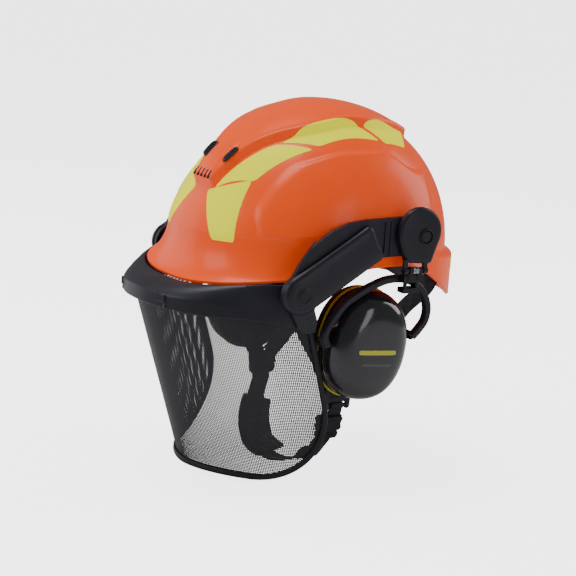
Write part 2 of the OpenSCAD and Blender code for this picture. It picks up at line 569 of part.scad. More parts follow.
module ear_cushion_right() mirror([1, 0, 0]) ear_cushion();
module cushion_piping_left() cushion_piping();
module cushion_piping_right() mirror([1, 0, 0]) cushion_piping();
module ear_foam_left() ear_foam();
module ear_foam_right() mirror([1, 0, 0]) ear_foam();

// ---- chin harness --------------------------------------------------------
face_x = 64;
divider = [face_x, 2, -106];
front_route = [[91, -60, 26], [82, -57, 2], [70, -50, -20], [face_x + 1.5, -38, -42],
    [face_x, -16, -75], [face_x, -4, -98]];
rear_route = [[80, 86, 12], [76, 80, -8], [69, 62, -28], [face_x + 1, 44, -56], [face_x, 24, -82],
    [face_x, 8, -98]];
module strap_front_left() color("black") strap(front_route, [0, 1, 1], web_w - 2, web_t);
module strap_front_right() mirror([1, 0, 0]) strap_front_left();
module strap_rear_left() color("black") strap(rear_route, [0, 1, -1], web_w - 2, web_t);
module strap_rear_right() mirror([1, 0, 0]) strap_rear_left();
bar_z = -6.5;
bar_r = 1.5;
loop_r = 3;
loop_w = web_w - 1;
module strap_divider() color("black") translate(divider) {
    difference() {
        plate_x(-2.4, 4.2) hull() {
            for (y = [-11, 11]) translate([y, 8]) circle(r = 3, $fn = 24);
            for (y = [-9.8, 9.8]) translate([y, -7]) circle(r = 3, $fn = 24);
        }
        translate([-5, -9.4, bar_z - 10]) cube([10, 18.8, 13.4]);
    }
    along_y(0, -10, bar_z) cylinder(r = bar_r, h = 20);
}
// Webbing turned round a divider's bar: w wide from y, with a tail of the given length below
module bar_loop(y, w, tail) difference() {
    union() {
        along_y(0, y, 0) cylinder(r = loop_r, h = w);
        translate([-web_t, y, -tail]) cube([2 * web_t, w, tail]);
    }
    along_y(0, y - 1, 0) cylinder(r = bar_r + run_fit, h = w + 2);
}
module strap_divider_left() strap_divider();
module strap_divider_right() mirror([1, 0, 0]) strap_divider();
chin_route = [[-face_x, 2, -120.5], [-63, -3, -138], [-55, -10, -158], [-34, -18, -173], [0, -20, -177],
    [30, -15, -170], [48, -8, -156], [56, -4, -143]];
module chin_strap() color("black") strap(chin_route, [0, 1, 0], web_w, web_t, 28);
pad_route = [[-60.5, -3, -138], [-52.5, -10, -155.5], [-32.5, -17.5, -169.5], [-4, -19.5, -173.2]];
module chin_loop() color("black") translate([-face_x, divider.y, divider.z + bar_z])
    bar_loop(-loop_w / 2, loop_w, 10.5);
module chin_pad() color("black") strap(pad_route, [0, 1, 0.3], 30, 4, 14);
// The buckle lies across the webbing's swing about the far divider, so its tongue leaves the socket straight
module at_buckle() translate([59, -2.5, -133]) rotate([0, 13, 0]) children();
module buckle_tongue() color("dimgray") at_buckle() {
    translate([-2.5, -11, -11.6]) cube([5, 22, 8]);
    for (y = [-7, 4]) translate([-1.2, y, -4]) cube([2.4, 3, 11]);
}
module buckle_socket() color("dimgray") {
    at_buckle() difference() {
        translate([-4, -12, -3]) cube([8, 24, 14]);
        translate([-2.2, -8.4, -4]) cube([4.4, 16.8, 13]);
    }
    translate([face_x, divider.y, divider.z + bar_z]) difference() {
        union() {
            along_y(0, -7, 0) cylinder(r = loop_r, h = 13);
            rotate([0, 13, 0]) translate([-1.2, -7, -10.5]) cube([2.4, 13, 10]);
        }
        along_y(0, -8, 0) cylinder(r = bar_r + run_fit, h = 15);
    }
}
module strap_adjuster() color("dimgray") translate([44, -10, -160]) rotate([0, -50, 8]) difference() {
    translate([-7, -12, -2.6]) cube([14, 24, 5.2]);
    translate([-8, -9.2, -1.2]) cube([16, 18.4, 2.4]);
}

shell();
reflective_strips_left();
reflective_strips_right();
crown_strap_front();
crown_strap_middle();
crown_strap_rear();
harness_clips();
headband();
sweatband();
slot_adapter_left();
slot_adapter_right();
strap_front_left();
strap_front_right();
strap_rear_left();
strap_rear_right();
strap_divider_left();
strap_divider_right();
buckle_socket();
vent_slider_left();
vent_slider_right();
vent_shutter_left();
vent_shutter_right();
nape_band();
nape_pad();
nape_housing();
nape_knob();
chin_strap();
chin_loop();
chin_pad();
buckle_tongue();
strap_adjuster();
visor_arm_left();
visor_arm_right();
arm_core_left();
arm_core_right();
visor_pivot_screws();
brow_guard();
visor_mesh();
visor_frame();
visor_brackets();
ear_bracket_left();
pivot_button_left();
ear_carrier_left();
ear_spring_left();
ear_yoke_left();
cup_shell_left();
cup_plate_left();
ear_cushion_left();
cushion_piping_left();
ear_foam_left();
ear_bracket_right();
pivot_button_right();
ear_carrier_right();
ear_spring_right();
ear_yoke_right();
cup_shell_right();
cup_plate_right();
ear_cushion_right();
cushion_piping_right();
ear_foam_right();
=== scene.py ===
from math import asin, atan2, copysign, cos, degrees, hypot, pi, radians, sin, sqrt

import bmesh
import bpy
from mathutils import Matrix, Vector
from mathutils.bvhtree import BVHTree


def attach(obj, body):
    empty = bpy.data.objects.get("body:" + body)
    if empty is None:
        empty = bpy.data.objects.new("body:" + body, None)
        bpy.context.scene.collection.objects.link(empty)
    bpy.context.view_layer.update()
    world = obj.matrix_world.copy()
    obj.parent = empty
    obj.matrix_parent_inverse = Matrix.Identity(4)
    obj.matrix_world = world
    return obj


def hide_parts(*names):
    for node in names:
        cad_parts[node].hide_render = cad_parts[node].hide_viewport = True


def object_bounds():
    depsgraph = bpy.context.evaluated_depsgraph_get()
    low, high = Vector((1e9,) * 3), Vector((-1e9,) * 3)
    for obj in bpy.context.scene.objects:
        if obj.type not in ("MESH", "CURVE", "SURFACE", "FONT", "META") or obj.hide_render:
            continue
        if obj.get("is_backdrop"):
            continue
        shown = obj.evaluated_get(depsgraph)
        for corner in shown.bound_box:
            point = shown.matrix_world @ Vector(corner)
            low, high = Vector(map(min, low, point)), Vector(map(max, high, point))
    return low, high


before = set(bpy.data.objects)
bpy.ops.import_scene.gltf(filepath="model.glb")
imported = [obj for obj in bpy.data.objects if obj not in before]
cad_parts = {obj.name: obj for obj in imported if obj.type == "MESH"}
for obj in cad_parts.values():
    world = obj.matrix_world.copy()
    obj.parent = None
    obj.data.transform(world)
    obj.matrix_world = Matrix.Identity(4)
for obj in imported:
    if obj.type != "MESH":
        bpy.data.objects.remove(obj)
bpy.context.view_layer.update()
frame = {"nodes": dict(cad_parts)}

MM = 0.001  # geometry below is written in millimetres, as the CAD is
SIDES = ((1, "left"), (-1, "right"))


# ---- camera --------------------------------------------------------------
def place_camera(azimuth, elevation, roll, distance, field, target):
    a, e, r = radians(azimuth), radians(elevation), radians(roll)
    back = Vector((sin(a) * cos(e), -cos(a) * cos(e), sin(e)))
    right = Vector((cos(a), sin(a), 0))
    up = back.cross(right)
    x = right * cos(r) + up * sin(r)
    y = -right * sin(r) + up * cos(r)
    cam = bpy.data.cameras.new("camera")
    cam.angle = radians(field)
    cam.clip_end = 20
    ob = bpy.data.objects.new("camera", cam)
    bpy.context.scene.collection.objects.link(ob)
    facing = Matrix((x, y, back)).transposed().to_4x4()
    ob.matrix_world = Matrix.Translation(Vector(target) + back * distance) @ facing
    bpy.context.scene.camera = ob


place_camera(57, 12.6, 4, 1.7, 17.28, (0, -0.016, -0.0195))


# ---- small maths ---------------------------------------------------------
def ease(a, b, t):
    u = min(1, max(0, (t - a) / (b - a)))
    return u * u * (3 - 2 * u)


def oval(phi, half_w, front, rear, n):
    s, c = abs(sin(phi)), cos(phi)
    return ((s / half_w) ** n + (abs(c) / (front if c > 0 else rear)) ** n) ** (-1 / n)


def spread(phi):
    """Degrees away from the front, on either side."""
    d = degrees(phi) % 360
    return min(d, 360 - d)


def curve(points, u):
    """A point at u, 0 to 1, on the smooth curve through the points."""
    n = len(points) - 1
    i = min(n - 1, int(u * n))
    t = u * n - i
    a, b, c, d = (Vector(points[min(n, max(0, i + k))]) for k in (-1, 0, 1, 2))
    square, cube = 2 * a - 5 * b + 4 * c - d, 3 * b - a - 3 * c + d
    return 0.5 * (2 * b + (c - a) * t + square * t * t + cube * t ** 3)


def path(points, steps):
    return [curve(points, i / steps) for i in range(steps + 1)]


def tangent(line, i):
    return (line[min(len(line) - 1, i + 1)] - line[max(0, i - 1)]).normalized()


def mirrored(points, side):
    return [Vector((p[0] * side, p[1], p[2])) for p in points]


def rotation(angle, axis):
    return Matrix.Rotation(radians(angle), 3, axis)


# ---- materials -----------------------------------------------------------
def shade(name, colour, rough, grain=1200, bump=0.12, mottle=0.06, metal=0.0, coat=0.0, sheen=0.0,
          kind="noise", deep=0.0002, shine=0.3, glow=0.0):
    """A material with colour, roughness and surface from object-space textures; grain is per metre."""
    m = bpy.data.materials.new(name)
    m.use_nodes = True
    nodes, links = m.node_tree.nodes, m.node_tree.links
    b = nodes["Principled BSDF"]
    b.inputs["Metallic"].default_value = metal
    b.inputs["Coat Weight"].default_value = coat
    b.inputs["Coat Roughness"].default_value = 0.08
    b.inputs["Sheen Weight"].default_value = sheen
    b.inputs["Specular IOR Level"].default_value = shine
    # An emission in the surface's own colour, as strong as glow: painted light, so the surface shines by
    # itself.
    b.inputs["Emission Color"].default_value = (*colour, 1)
    b.inputs["Emission Strength"].default_value = glow
    where = nodes.new("ShaderNodeTexCoord")
    broad = nodes.new("ShaderNodeTexNoise")
    broad.inputs["Scale"].default_value = 35
    broad.inputs["Detail"].default_value = 6
    links.new(where.outputs["Object"], broad.inputs["Vector"])
    ramp = nodes.new("ShaderNodeValToRGB")
    ramp.color_ramp.elements[0].position = 0.3
    ramp.color_ramp.elements[1].position = 0.7
    ramp.color_ramp.elements[0].color = [c * (1 - mottle) for c in colour] + [1]
    ramp.color_ramp.elements[1].color = [min(1, c * (1 + mottle)) for c in colour] + [1]
    links.new(broad.outputs["Fac"], ramp.inputs["Fac"])
    links.new(ramp.outputs["Color"], b.inputs["Base Color"])
    dull = nodes.new("ShaderNodeMapRange")
    dull.inputs["To Min"].default_value = max(0.02, rough * 0.85)
    dull.inputs["To Max"].default_value = min(1, rough * 1.15)
    links.new(broad.outputs["Fac"], dull.inputs["Value"])
    links.new(dull.outputs["Result"], b.inputs["Roughness"])
    if kind == "noise":
        fine = nodes.new("ShaderNodeTexNoise")
        fine.inputs["Detail"].default_value = 3
        fine.inputs["Scale"].default_value = grain
        height = fine.outputs["Fac"]
    elif kind == "cells":
        fine = nodes.new("ShaderNodeTexVoronoi")
        fine.inputs["Scale"].default_value = grain
        height = fine.outputs["Distance"]
    if kind == "weave":
        waves = []
        for axis, factor in (("X", 1.0), ("Y", 0.8), ("Z", 1.15)):
            w = nodes.new("ShaderNodeTexWave")
            w.bands_direction = axis
            w.inputs["Scale"].default_value = grain * factor / 20
            w.inputs["Distortion"].default_value = 0.6
            links.new(where.outputs["Object"], w.inputs["Vector"])
            waves.append(w)
        height = waves[0].outputs["Fac"]
        for w in waves[1:]:
            mix = nodes.new("ShaderNodeMath")
            mix.operation = "MULTIPLY_ADD"
            mix.inputs[1].default_value = 0.5
            links.new(w.outputs["Fac"], mix.inputs[0])
            links.new(height, mix.inputs[2])
            height = mix.outputs[0]
    else:
        links.new(where.outputs["Object"], fine.inputs["Vector"])
    ridge = nodes.new("ShaderNodeBump")
    ridge.inputs["Strength"].default_value = bump
    ridge.inputs["Distance"].default_value = deep
    links.new(height, ridge.inputs["Height"])
    links.new(ridge.outputs["Normal"], b.inputs["Normal"])
    return m


# The orange shell and the yellow film are given glow: painted light, an emission that makes them shine
# brighter though they are no lamp.
orange = shade("orange_shell", (0.98, 0.080, 0.003), 0.33, grain=700, bump=0.05,
               mottle=0.03, coat=0.08, glow=0.25, shine=0.22)
yellow = shade("yellow_film", (0.80, 0.80, 0.001), 0.40, grain=500, bump=0.10,
               mottle=0.03, kind="cells", deep=0.00015, shine=0.08, glow=0.45)
black = shade("black_plastic", (0.013, 0.012, 0.021), 0.40, grain=1500, bump=0.30, mottle=0.15)
matt_black = shade("matt_black_plastic", (0.014, 0.014, 0.018), 0.55, grain=1200, bump=0.35, mottle=0.15)
brow_black = shade("brow_plastic", (0.020, 0.020, 0.028), 0.36, grain=1800, bump=0.25, mottle=0.12)
gloss = shade("cup_gloss_black", (0.017, 0.016, 0.021), 0.16, grain=400, bump=0.02, mottle=0.10, coat=0.6)
wire_black = shade("painted_wire", (0.020, 0.020, 0.026), 0.45, grain=2500, bump=0.25, mottle=0.2)
rail_black = shade("edge_rubber", (0.010, 0.010, 0.014), 0.50, grain=1400, bump=0.30, mottle=0.2)
webbing = shade("black_webbing", (0.013, 0.013, 0.018), 0.75, grain=900, bump=0.9,
                mottle=0.25, sheen=0.25, kind="weave", deep=0.0006)
skin = shade("cushion_skin", (0.022, 0.022, 0.030), 0.50, grain=700, bump=0.35,
             mottle=0.12, sheen=0.1, kind="cells", deep=0.0004)
foam = shade("dark_foam", (0.020, 0.020, 0.026), 0.92, grain=1100, bump=0.9,
             mottle=0.3, sheen=0.3, kind="cells", deep=0.0008)
cloth = shade("padded_cloth", (0.030, 0.030, 0.036), 0.85, grain=1400, bump=0.9,
              mottle=0.2, sheen=0.4, kind="weave", deep=0.0005)
piping_yellow = shade("yellow_piping", (0.62, 0.62, 0.03), 0.45, grain=900, bump=0.3, mottle=0.08)
steel = shade("spring_steel", (0.55, 0.55, 0.57), 0.28, grain=2000, bump=0.15, mottle=0.06, metal=1.0)
pale_mark = shade("plain_mark_yellow", (0.55, 0.54, 0.05), 0.5, grain=1500, bump=0.1, mottle=0.05)
grey_mark = shade("plain_mark_grey", (0.09, 0.09, 0.10), 0.5, grain=1500, bump=0.1, mottle=0.05)


# ---- making pieces -------------------------------------------------------
def piece(name, verts, faces, body, slot, material, covers=(), sharp=38, bevel=0.0, segments=3):
    me = bpy.data.meshes.new(name)
    me.from_pydata([[c * MM for c in v] for v in verts], [], faces)
    bm = bmesh.new()
    bm.from_mesh(me)
    bmesh.ops.remove_doubles(bm, verts=bm.verts, dist=1e-6)
    bmesh.ops.recalc_face_normals(bm, faces=bm.faces)
    bm.to_mesh(me)
    bm.free()
    me.polygons.foreach_set("use_smooth", [True] * len(me.polygons))
    me.set_sharp_from_angle(angle=radians(sharp))
    me.materials.append(material)
    ob = bpy.data.objects.new(name, me)
    bpy.context.scene.collection.objects.link(ob)
    if bevel:
        mod = ob.modifiers.new("rounded_edges", "BEVEL")
        mod.width = bevel * MM
        mod.segments = segments
        mod.limit_method = "ANGLE"
        mod.angle_limit = radians(35)
        mod.harden_normals = True
    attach(ob, body)
    if covers:
        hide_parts(*([covers] if isinstance(covers, str) else covers))
    return ob


def loft(rings, loop=False):
    """Vertices and faces of a skin over rings of points; open ends are closed with a face."""
    n, m = len(rings), len(rings[0])
    faces = [(i * m + j, i * m + (j + 1) % m, (i + 1) % n * m + (j + 1) % m, (i + 1) % n * m + j)
             for i in range(n if loop else n - 1) for j in range(m)]
    if not loop:
        faces += [tuple(range(m)), tuple((n - 1) * m + j for j in range(m))]
    return [p for r in rings for p in r], faces


def merged(parts):
    verts, faces = [], []
    for v, f in parts:
        faces += [tuple(i + len(verts) for i in face) for face in f]
        verts += v
    return verts, faces


def sweep(line, section, side):
    """Rings of a (across, out) section along a line, with across kept close to the side direction."""
    rings = []
    for i, p in enumerate(line):
        d = tangent(line, i)
        s = (side - side.dot(d) * d).normalized()
        rings.append([p + s * a + d.cross(s) * b for a, b in section])
    return rings


def ellipse(a, b, n=16, power=2.0):
    def signed(v):
        return copysign(abs(v) ** (2 / power), v)
    return [(a * signed(cos(2 * pi * k / n)), b * signed(sin(2 * pi * k / n))) for k in range(n)]


def block(at, size, turn=(0, 0, 0)):
    """A box centred at a point, turned by degrees about X, Y and Z."""
    rot = rotation(turn[2], "Z") @ rotation(turn[1], "Y") @ rotation(turn[0], "X")
    corners = [Vector((x, y, z)) for x in (-0.5, 0.5) for y in (-0.5, 0.5) for z in (-0.5, 0.5)]
    verts = [Vector(at) + rot @ Vector((c.x * size[0], c.y * size[1], c.z * size[2])) for c in corners]
    return verts, [(0, 1, 3, 2), (4, 6, 7, 5), (0, 4, 5, 1), (2, 3, 7, 6), (0, 2, 6, 4), (1, 5, 7, 3)]


def placed(part, turn, at):
    """A part's vertices and faces, turned by a matrix and then moved."""
    verts, faces = part
    return [turn @ Vector(v) + Vector(at) for v in verts], faces


def plate(outline, x0, x1, side=1):
    """An outline in (y, z) made into a plate from x0 to x1."""
    return loft([[Vector((x * side, y, z)) for y, z in outline] for x in (x0, x1)])


def arc(y, z, r, start, end, n=14):
    angles = [radians(start + (end - start) * k / n) for k in range(n + 1)]
    return [(y + r * cos(t), z + r * sin(t)) for t in angles]


def stadium(half, r, n):
    """An outline with two straight sides and two round ends."""
    end = [(r * cos(t), r * sin(t)) for t in (pi * k / n - pi / 2 for k in range(n + 1))]
    return [(half + a, b) for a, b in end] + [(-half - a, -b) for a, b in end]


def pod(outline, spine, profile, side=1):
    """A plate with a swelling face: each (inward, x) is the outline drawn in towards the spine."""
    (ay, az), (by, bz) = spine
    dy, dz = by - ay, bz - az
    rings = []
    for inward, x in profile:
        ring = []
        for y, z in outline:
            t = min(1, max(0, ((y - ay) * dy + (z - az) * dz) / (dy * dy + dz * dz)))
            my, mz = ay + dy * t, az + dz * t
            ring.append(Vector((x * side, y + (my - y) * inward, z + (mz - z) * inward)))
        rings.append(ring)
    return loft(rings)


def drum(at, axis, r, h, n=40, bore=0.0, chamfer=0.6):
    """A round boss from a point along an axis, with a chamfered outer edge."""
    axis = Vector(axis).normalized()
    u = axis.orthogonal().normalized()
    v = axis.cross(u)
    steps = [(r, 0), (r, h - chamfer), (r - chamfer, h)]
    if bore:
        steps += [(bore, h), (bore, 0)]
    spokes = [u * cos(2 * pi * k / n) + v * sin(2 * pi * k / n) for k in range(n)]
    rings = [[Vector(at) + axis * z + spoke * q for spoke in spokes] for q, z in steps]
    return loft(rings, loop=bool(bore))


def skin_of(ob):
    """A piece's surface in millimetres, for laying films on it."""
    me = ob.data
    return BVHTree.FromPolygons([v.co / MM for v in me.vertices], [p.vertices[:] for p in me.polygons])


def meet(skin_tree, start, way, lift):
    """Where a line meets a skin, lifted off it, with the skin's direction there towards the line's start."""
    hit, normal = skin_tree.ray_cast(start, way)[:2]
    normal = normal if normal.dot(way) < 0 else -normal
    return hit + normal * lift, normal


# ---- shell ---------------------------------------------------------------
# the dome's half width, reach to front and rear, height, power of its oval, and the level it stands on
DOME_W, DOME_F, DOME_R, DOME_H, DOME_N, BASE_Z = 106, 128, 126, 146, 2.3, 20
RIM_W, PEAK, NECK, WALL, CREST = 109, 143, 134, 3, 5.5
LEDGE_TURN = 66  # degrees the brim curls through between crease and rim
HOOD_RISE, RIDGE_RISE, PANEL_RISE = 0.42, 0.22, 2.3  # the first two as parts of the crest's height


def dome_oval(phi):
    return oval(phi, DOME_W, DOME_F, DOME_R, DOME_N)


def crease_z(phi):
    d = spread(phi)
    return 42 + 3 * ease(30, 80, d) - 19 * ease(95, 140, d)


def rim_z(phi):
    d = spread(phi)
    return 3 + 10 * ease(5, 58, d) + 10 * ease(60, 95, d) - 43 * ease(105, 158, d)


def rim_r(phi):
    d = spread(phi)
    power = 2.5 + (DOME_N - 2.5) * ease(60, 120, d)
    return oval(phi, RIM_W - 3.5 + 3.5 * ease(60, 95, d), PEAK, NECK, power)


def profile_power(phi):
    return 2.17 - 0.37 * ease(-0.1, 1, cos(phi))


def profile(phi, s):
    """(reach, height) of the shell: s is 0 at the crown, 1 at the crease and 2 at the rim."""
    if s <= 1:
        m = profile_power(phi)
        k1 = (crease_z(phi) - BASE_Z) / (DOME_H - BASE_Z)
        t = pi / 2 - (pi / 2 - asin(k1 ** (m / 2))) * max(s, 0)
        reach = dome_oval(phi) * max(cos(t), 0) ** (2 / m)
        return Vector((reach, BASE_Z + (DOME_H - BASE_Z) * sin(t) ** (2 / m)))
    c, u = profile(phi, 1), s - 1
    back = ease(105, 150, spread(phi))
    flare = (1 - cos(radians(LEDGE_TURN * u))) / (1 - cos(radians(LEDGE_TURN)))
    drop = sin(radians(LEDGE_TURN * u)) / sin(radians(LEDGE_TURN))
    ledge = ease(0, 0.16, u)
    return Vector((c.x + (rim_r(phi) - c.x) * (flare * (1 - back) + ledge * back),
                   c.y + (rim_z(phi) - c.y) * (drop * (1 - back) + u * back)))


def crest_half(y):
    return 15 + 34 * ease(-118, -15, y) - 14 * ease(15, 75, y)


def panel_top(y):
    return 102 + 12 * ease(-70, -10, y) - 18 * ease(20, 60, y)


def relief(p):
    """How far the crest, the hood and the side panels stand above the dome."""
    ax, w = abs(p.x), crest_half(p.y)
    crest = ((1 - ease(w - 2.5, w + 1.5, ax)) * ease(-113, -106, p.y)
             * (1 - ease(70, 74, p.y)) * ease(76, 82, p.z))
    ridge = RIDGE_RISE * ease(w - 9, w - 3, ax) * crest
    hood = (HOOD_RISE * (1 - ease(10, 14.5, ax)) * ease(-114, -109, p.y)
            * (1 - ease(-96, -72, p.y)) * ease(80, 84, p.z))
    front = -95 + 12 * ease(64, 96, p.z)
    panel = (ease(front - 2, front + 3, p.y) * (1 - ease(66, 76, p.y)) * ease(43, 48, p.z)
             * (1 - ease(panel_top(p.y) - 2, panel_top(p.y) + 3, p.z)) * ease(60, 70, ax))
    return CREST * (crest + ridge + hood) + PANEL_RISE * panel


def shell_point(phi, s, lift):
    q = profile(phi, s)
    d = profile(phi, min(s + 0.02, 2)) - profile(phi, max(s - 0.02, 0))
    nx, nz = -d.y / d.length, d.x / d.length
    p = Vector((q.x * sin(phi), -q.x * cos(phi), q.y))
    h = lift + (relief(p) if s < 1.02 else 0)
    return Vector((p.x + h * nx * sin(phi), p.y - h * nx * cos(phi), p.z + h * nz))


def make_shell():
    turns, dome, rim = ((400, 130, 34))
    levels = [i / dome for i in range(1, dome + 1)] + [1 + i / rim for i in range(1, rim + 1)]
    inner = [i / 40 for i in range(1, 41)] + [1 + i / 12 for i in range(1, 13)]
    around = [2 * pi * j / turns for j in range(turns)]
    rings = [[shell_point(a, s, 0) for a in around] for s in levels]
    rings.append([shell_point(a, 2, -WALL / 2) + Vector((0, 0, -0.9)) for a in around])
    rings += [[shell_point(a, s, -WALL) for a in around] for s in reversed(inner)]
    verts, faces = loft(rings)
    faces = faces[:-2]
    crown, roof = len(verts), len(verts) + 1
    verts += [Vector((0, 0, DOME_H + CREST)), Vector((0, 0, DOME_H + CREST - WALL))]
    last = (len(rings) - 1) * turns
    faces += [(crown, j, (j + 1) % turns) for j in range(turns)]
    faces += [(roof, last + (j + 1) % turns, last + j) for j in range(turns)]
    return piece("helmet_shell", verts, faces, "helmet", "shell", orange, "shell", sharp=55)


shell = make_shell()
shell_skin = skin_of(shell)


def on_shell(p, lift):
    """The point on the shell's outside under p, seen from the dome's middle, lifted off it."""
    middle = Vector((0, p.y * 0.35, BASE_Z))
    away = (p - middle).normalized()
    return meet(shell_skin, middle + away * 320, -away, lift)


def dome_z(x, y):
    phi = atan2(x, -y)
    m = profile_power(phi)
    r = min(hypot(x, y) / dome_oval(phi), 0.999)
    return BASE_Z + (DOME_H - BASE_Z) * (1 - r ** m) ** (1 / m)


def front_y(x, z):
    m = profile_power(atan2(x, 100))
    q = (1 - ((z - BASE_Z) / (DOME_H - BASE_Z)) ** m) ** (1 / m)
    return -DOME_F * q * (1 - (abs(x) / (DOME_W * q)) ** DOME_N) ** (1 / DOME_N)


def decal(corners, place, side, n=26, round_by=0.07, lift=0.35, thick=0.5, onto=on_shell):
    """A thin film between four rounded corners, laid on a skin; place gives a point near the skin."""
    c0, c1, c2, c3 = corners
    top, low = [], []
    for i in range(n + 1):
        for j in range(n + 1):
            u, v = i / n, j / n
            cu, cv = min(max(u, round_by), 1 - round_by), min(max(v, round_by), 1 - round_by)
            off = hypot(u - cu, v - cv)
            if off > round_by:
                u, v = cu + (u - cu) * round_by / off, cv + (v - cv) * round_by / off
            at = [(c0[k] * (1 - u) + c1[k] * u) * (1 - v) + (c3[k] * (1 - u) + c2[k] * u) * v
                  for k in (0, 1)]
            p = place(*at)
            q, normal = onto(Vector((p.x * side, p.y, p.z)), lift)
            top.append(q)
            low.append(q - normal * thick)
    m = n + 1
    edge = list(range(m)) + [i * m + n for i in range(1, m)]
    edge += [n * m + j for j in range(n - 1, -1, -1)] + [i * m for i in range(n - 1, 0, -1)]
    h = m * m  # the underside's points follow the top's
    faces = []
    for i in range(n):
        for j in range(n):
            a, b, c, d = i * m + j, i * m + j + 1, (i + 1) * m + j + 1, (i + 1) * m + j
            faces += [(a, b, c, d), (h + a, h + d, h + c, h + b)]
    faces += [(a, h + a, h + b, b) for a, b in zip(edge, edge[1:] + edge[:1])]
    return top + low, faces


def from_above(x, y):
    return Vector((x, y, dome_z(x, y) + 3))


def from_front(x, z):
    return Vector((x, front_y(x, z), z))


def on_neck(turn, down):
    return shell_point(radians(turn), 1 + down, 1)


FRONT_STRIP = ((10, 75), (47, 89), (57.5, 38.5), (37, 37.5))
TOP_STRIPS = (
    ((17, -110), (38, -65), (62, -40), (50, -90)),
    ((41, -60), (50, 10), (65, 26), (62, -34)),
    ((50, 17), (36, 70), (62, 56), (66, 32)))
NECK_STRIP = ((146, 0.2), (172, 0.2), (172, 0.46), (146, 0.46))

for side, word in SIDES:
    films = [decal(FRONT_STRIP, from_front, side)]
    films += [decal(c, from_above, side) for c in TOP_STRIPS]
    films.append(decal(NECK_STRIP, on_neck, side, n=14))
    piece(f"strips_{word}", *merged(films), "helmet", "reflective_yellow", yellow,
          f"reflective_strips_{word}", sharp=50)


# ---- ventilation: painted shade in the hood's vent openings, ribbed sliders ---
def capsule_on_shell(centre, along, length, width, lift, thick, n=10):
    """A rounded bar laid on the shell, long in one direction."""
    c, normal = on_shell(Vector(centre), 0)
    run = (Vector(along) - Vector(along).dot(normal) * normal).normalized()
    across = normal.cross(run)
    half = length / 2 - width / 2
    rings = []
    for shrink, h in ((1, lift - thick), (1, lift - 0.35), (0.8, lift)):
        ring = []
        for a, b in stadium(half, width / 2, n):
            stretch = 1 if abs(a) < half else shrink ** 0.3
            ring.append(c + run * a * stretch + across * b * shrink + normal * h)
        rings.append(ring)
    return loft(rings)


SLIDER_PITCH = 2.0
# Thin dark capsules lie on the hood where the five vent openings are: painted shade of the holes, which are
# not cut into the shell.
slot_shade_bars = [capsule_on_shell((x, -109, 86.5), (0, 0, 1), 8.5, 2.3, 0.12, 1.0) for x in (-11, -5.5, 0, 5.5, 11)]
piece("vent_slots", *merged(slot_shade_bars), "helmet", "fittings", matt_black, sharp=50)
for side, word in SIDES:
    start = Vector((16.5 * side, -93, 104))
    c, normal = on_shell(start, 0)
    run = Vector((0.07 * side, 0.69, 0.72))
    run = (run - run.dot(normal) * normal).normalized()
    across = normal.cross(run)
    parts = [capsule_on_shell(start, run, 17.5, 8.6, 1.6, 2.0)]
    turn = Matrix((across, run, normal)).transposed()
    for k in range(-3, 4):
        rib = block((0, 0, 0), (6.4 - 0.25 * k * k, 1.0, 1.6))
        parts.append(placed(rib, turn, c + run * k * SLIDER_PITCH + normal * 1.8))
    piece(f"slider_{word}", *merged(parts), f"vent_{word}", "fittings", black, f"vent_slider_{word}",
          bevel=0.25)


# ---- visor: brow guard, woven mesh, edge rail ----------------------------
SCREW = (-77, 4)  # (y, z) of the visor's tilting screws in the arms
SHAFT = (43, 49)  # (y, z) of the side adapters' shafts
GUARD_HALF = 62  # degrees the brow guard reaches to either side
GUARD_SKIN = 2.4
LIP_W, LIP_F, LIP_POWER = 112, 170.5, 2.15


def lip_r(phi):
    return oval(phi, LIP_W, LIP_F, LIP_F, LIP_POWER)


def lip_low(phi):
    d = spread(phi)
    return -19 - 2 * ease(0, 30, d) - 12 * ease(35, 70, d)


def guard_section(phi):
    """(reach, height) round the brow guard's section: over the top, down the lip and back inside."""
    r, z0 = lip_r(phi), lip_low(phi)
    u = min(oval(phi, RIM_W, PEAK + 3.5, 100, 2.5), r)
    z1, z2 = z0 + 11, min(9, rim_z(phi) - 2)
    run, drop = r - u, z2 - z1
    over = [(u - GUARD_SKIN, z2 - 1.2), (u - 1.2, z2 + 0.1), (u, z2 - 0.3),
            (u + run * 0.3, z2 - drop * 0.13), (u + run * 0.62, z2 - drop * 0.38),
            (u + run * 0.88, z2 - drop * 0.72)]
    lip = [(r - 0.35, z1 + 0.8), (r, z1 - 0.6), (r - 0.2, z0 + 1.6), (r, z0 + 0.8), (r - 0.6, z0)]
    inside = [(r - 2.2, z0), (r - GUARD_SKIN, z0 + 1), (r - GUARD_SKIN, z1 - 1.5),
              (u + run * 0.5, z2 - drop * 0.36 - GUARD_SKIN)]
    return over + lip + inside


def make_guard():
    steps = 160
    rings = []
    for i in range(steps + 1):
        phi = radians(-GUARD_HALF + 2 * GUARD_HALF * i / steps)
        c = Vector((sin(phi), -cos(phi), 0))
        rings.append([c * r + Vector((0, 0, z)) for r, z in guard_section(phi)])
    parts = [loft(rings)]
    fin = arc(*SCREW, 13, 60, 245, 16)
    fin += [(-72, -27), (-66, -31.5), (-60, -32.5), (-54.5, -30), (-55.5, -22), (-62, -6)]
    parts += [plate(fin, 104, 107.5, side) for side, word in SIDES]
    piece("brow_guard_top", *merged(parts), "visor", "arm_plastic", brow_black, "brow_guard",
          sharp=32, bevel=0.5, segments=2)


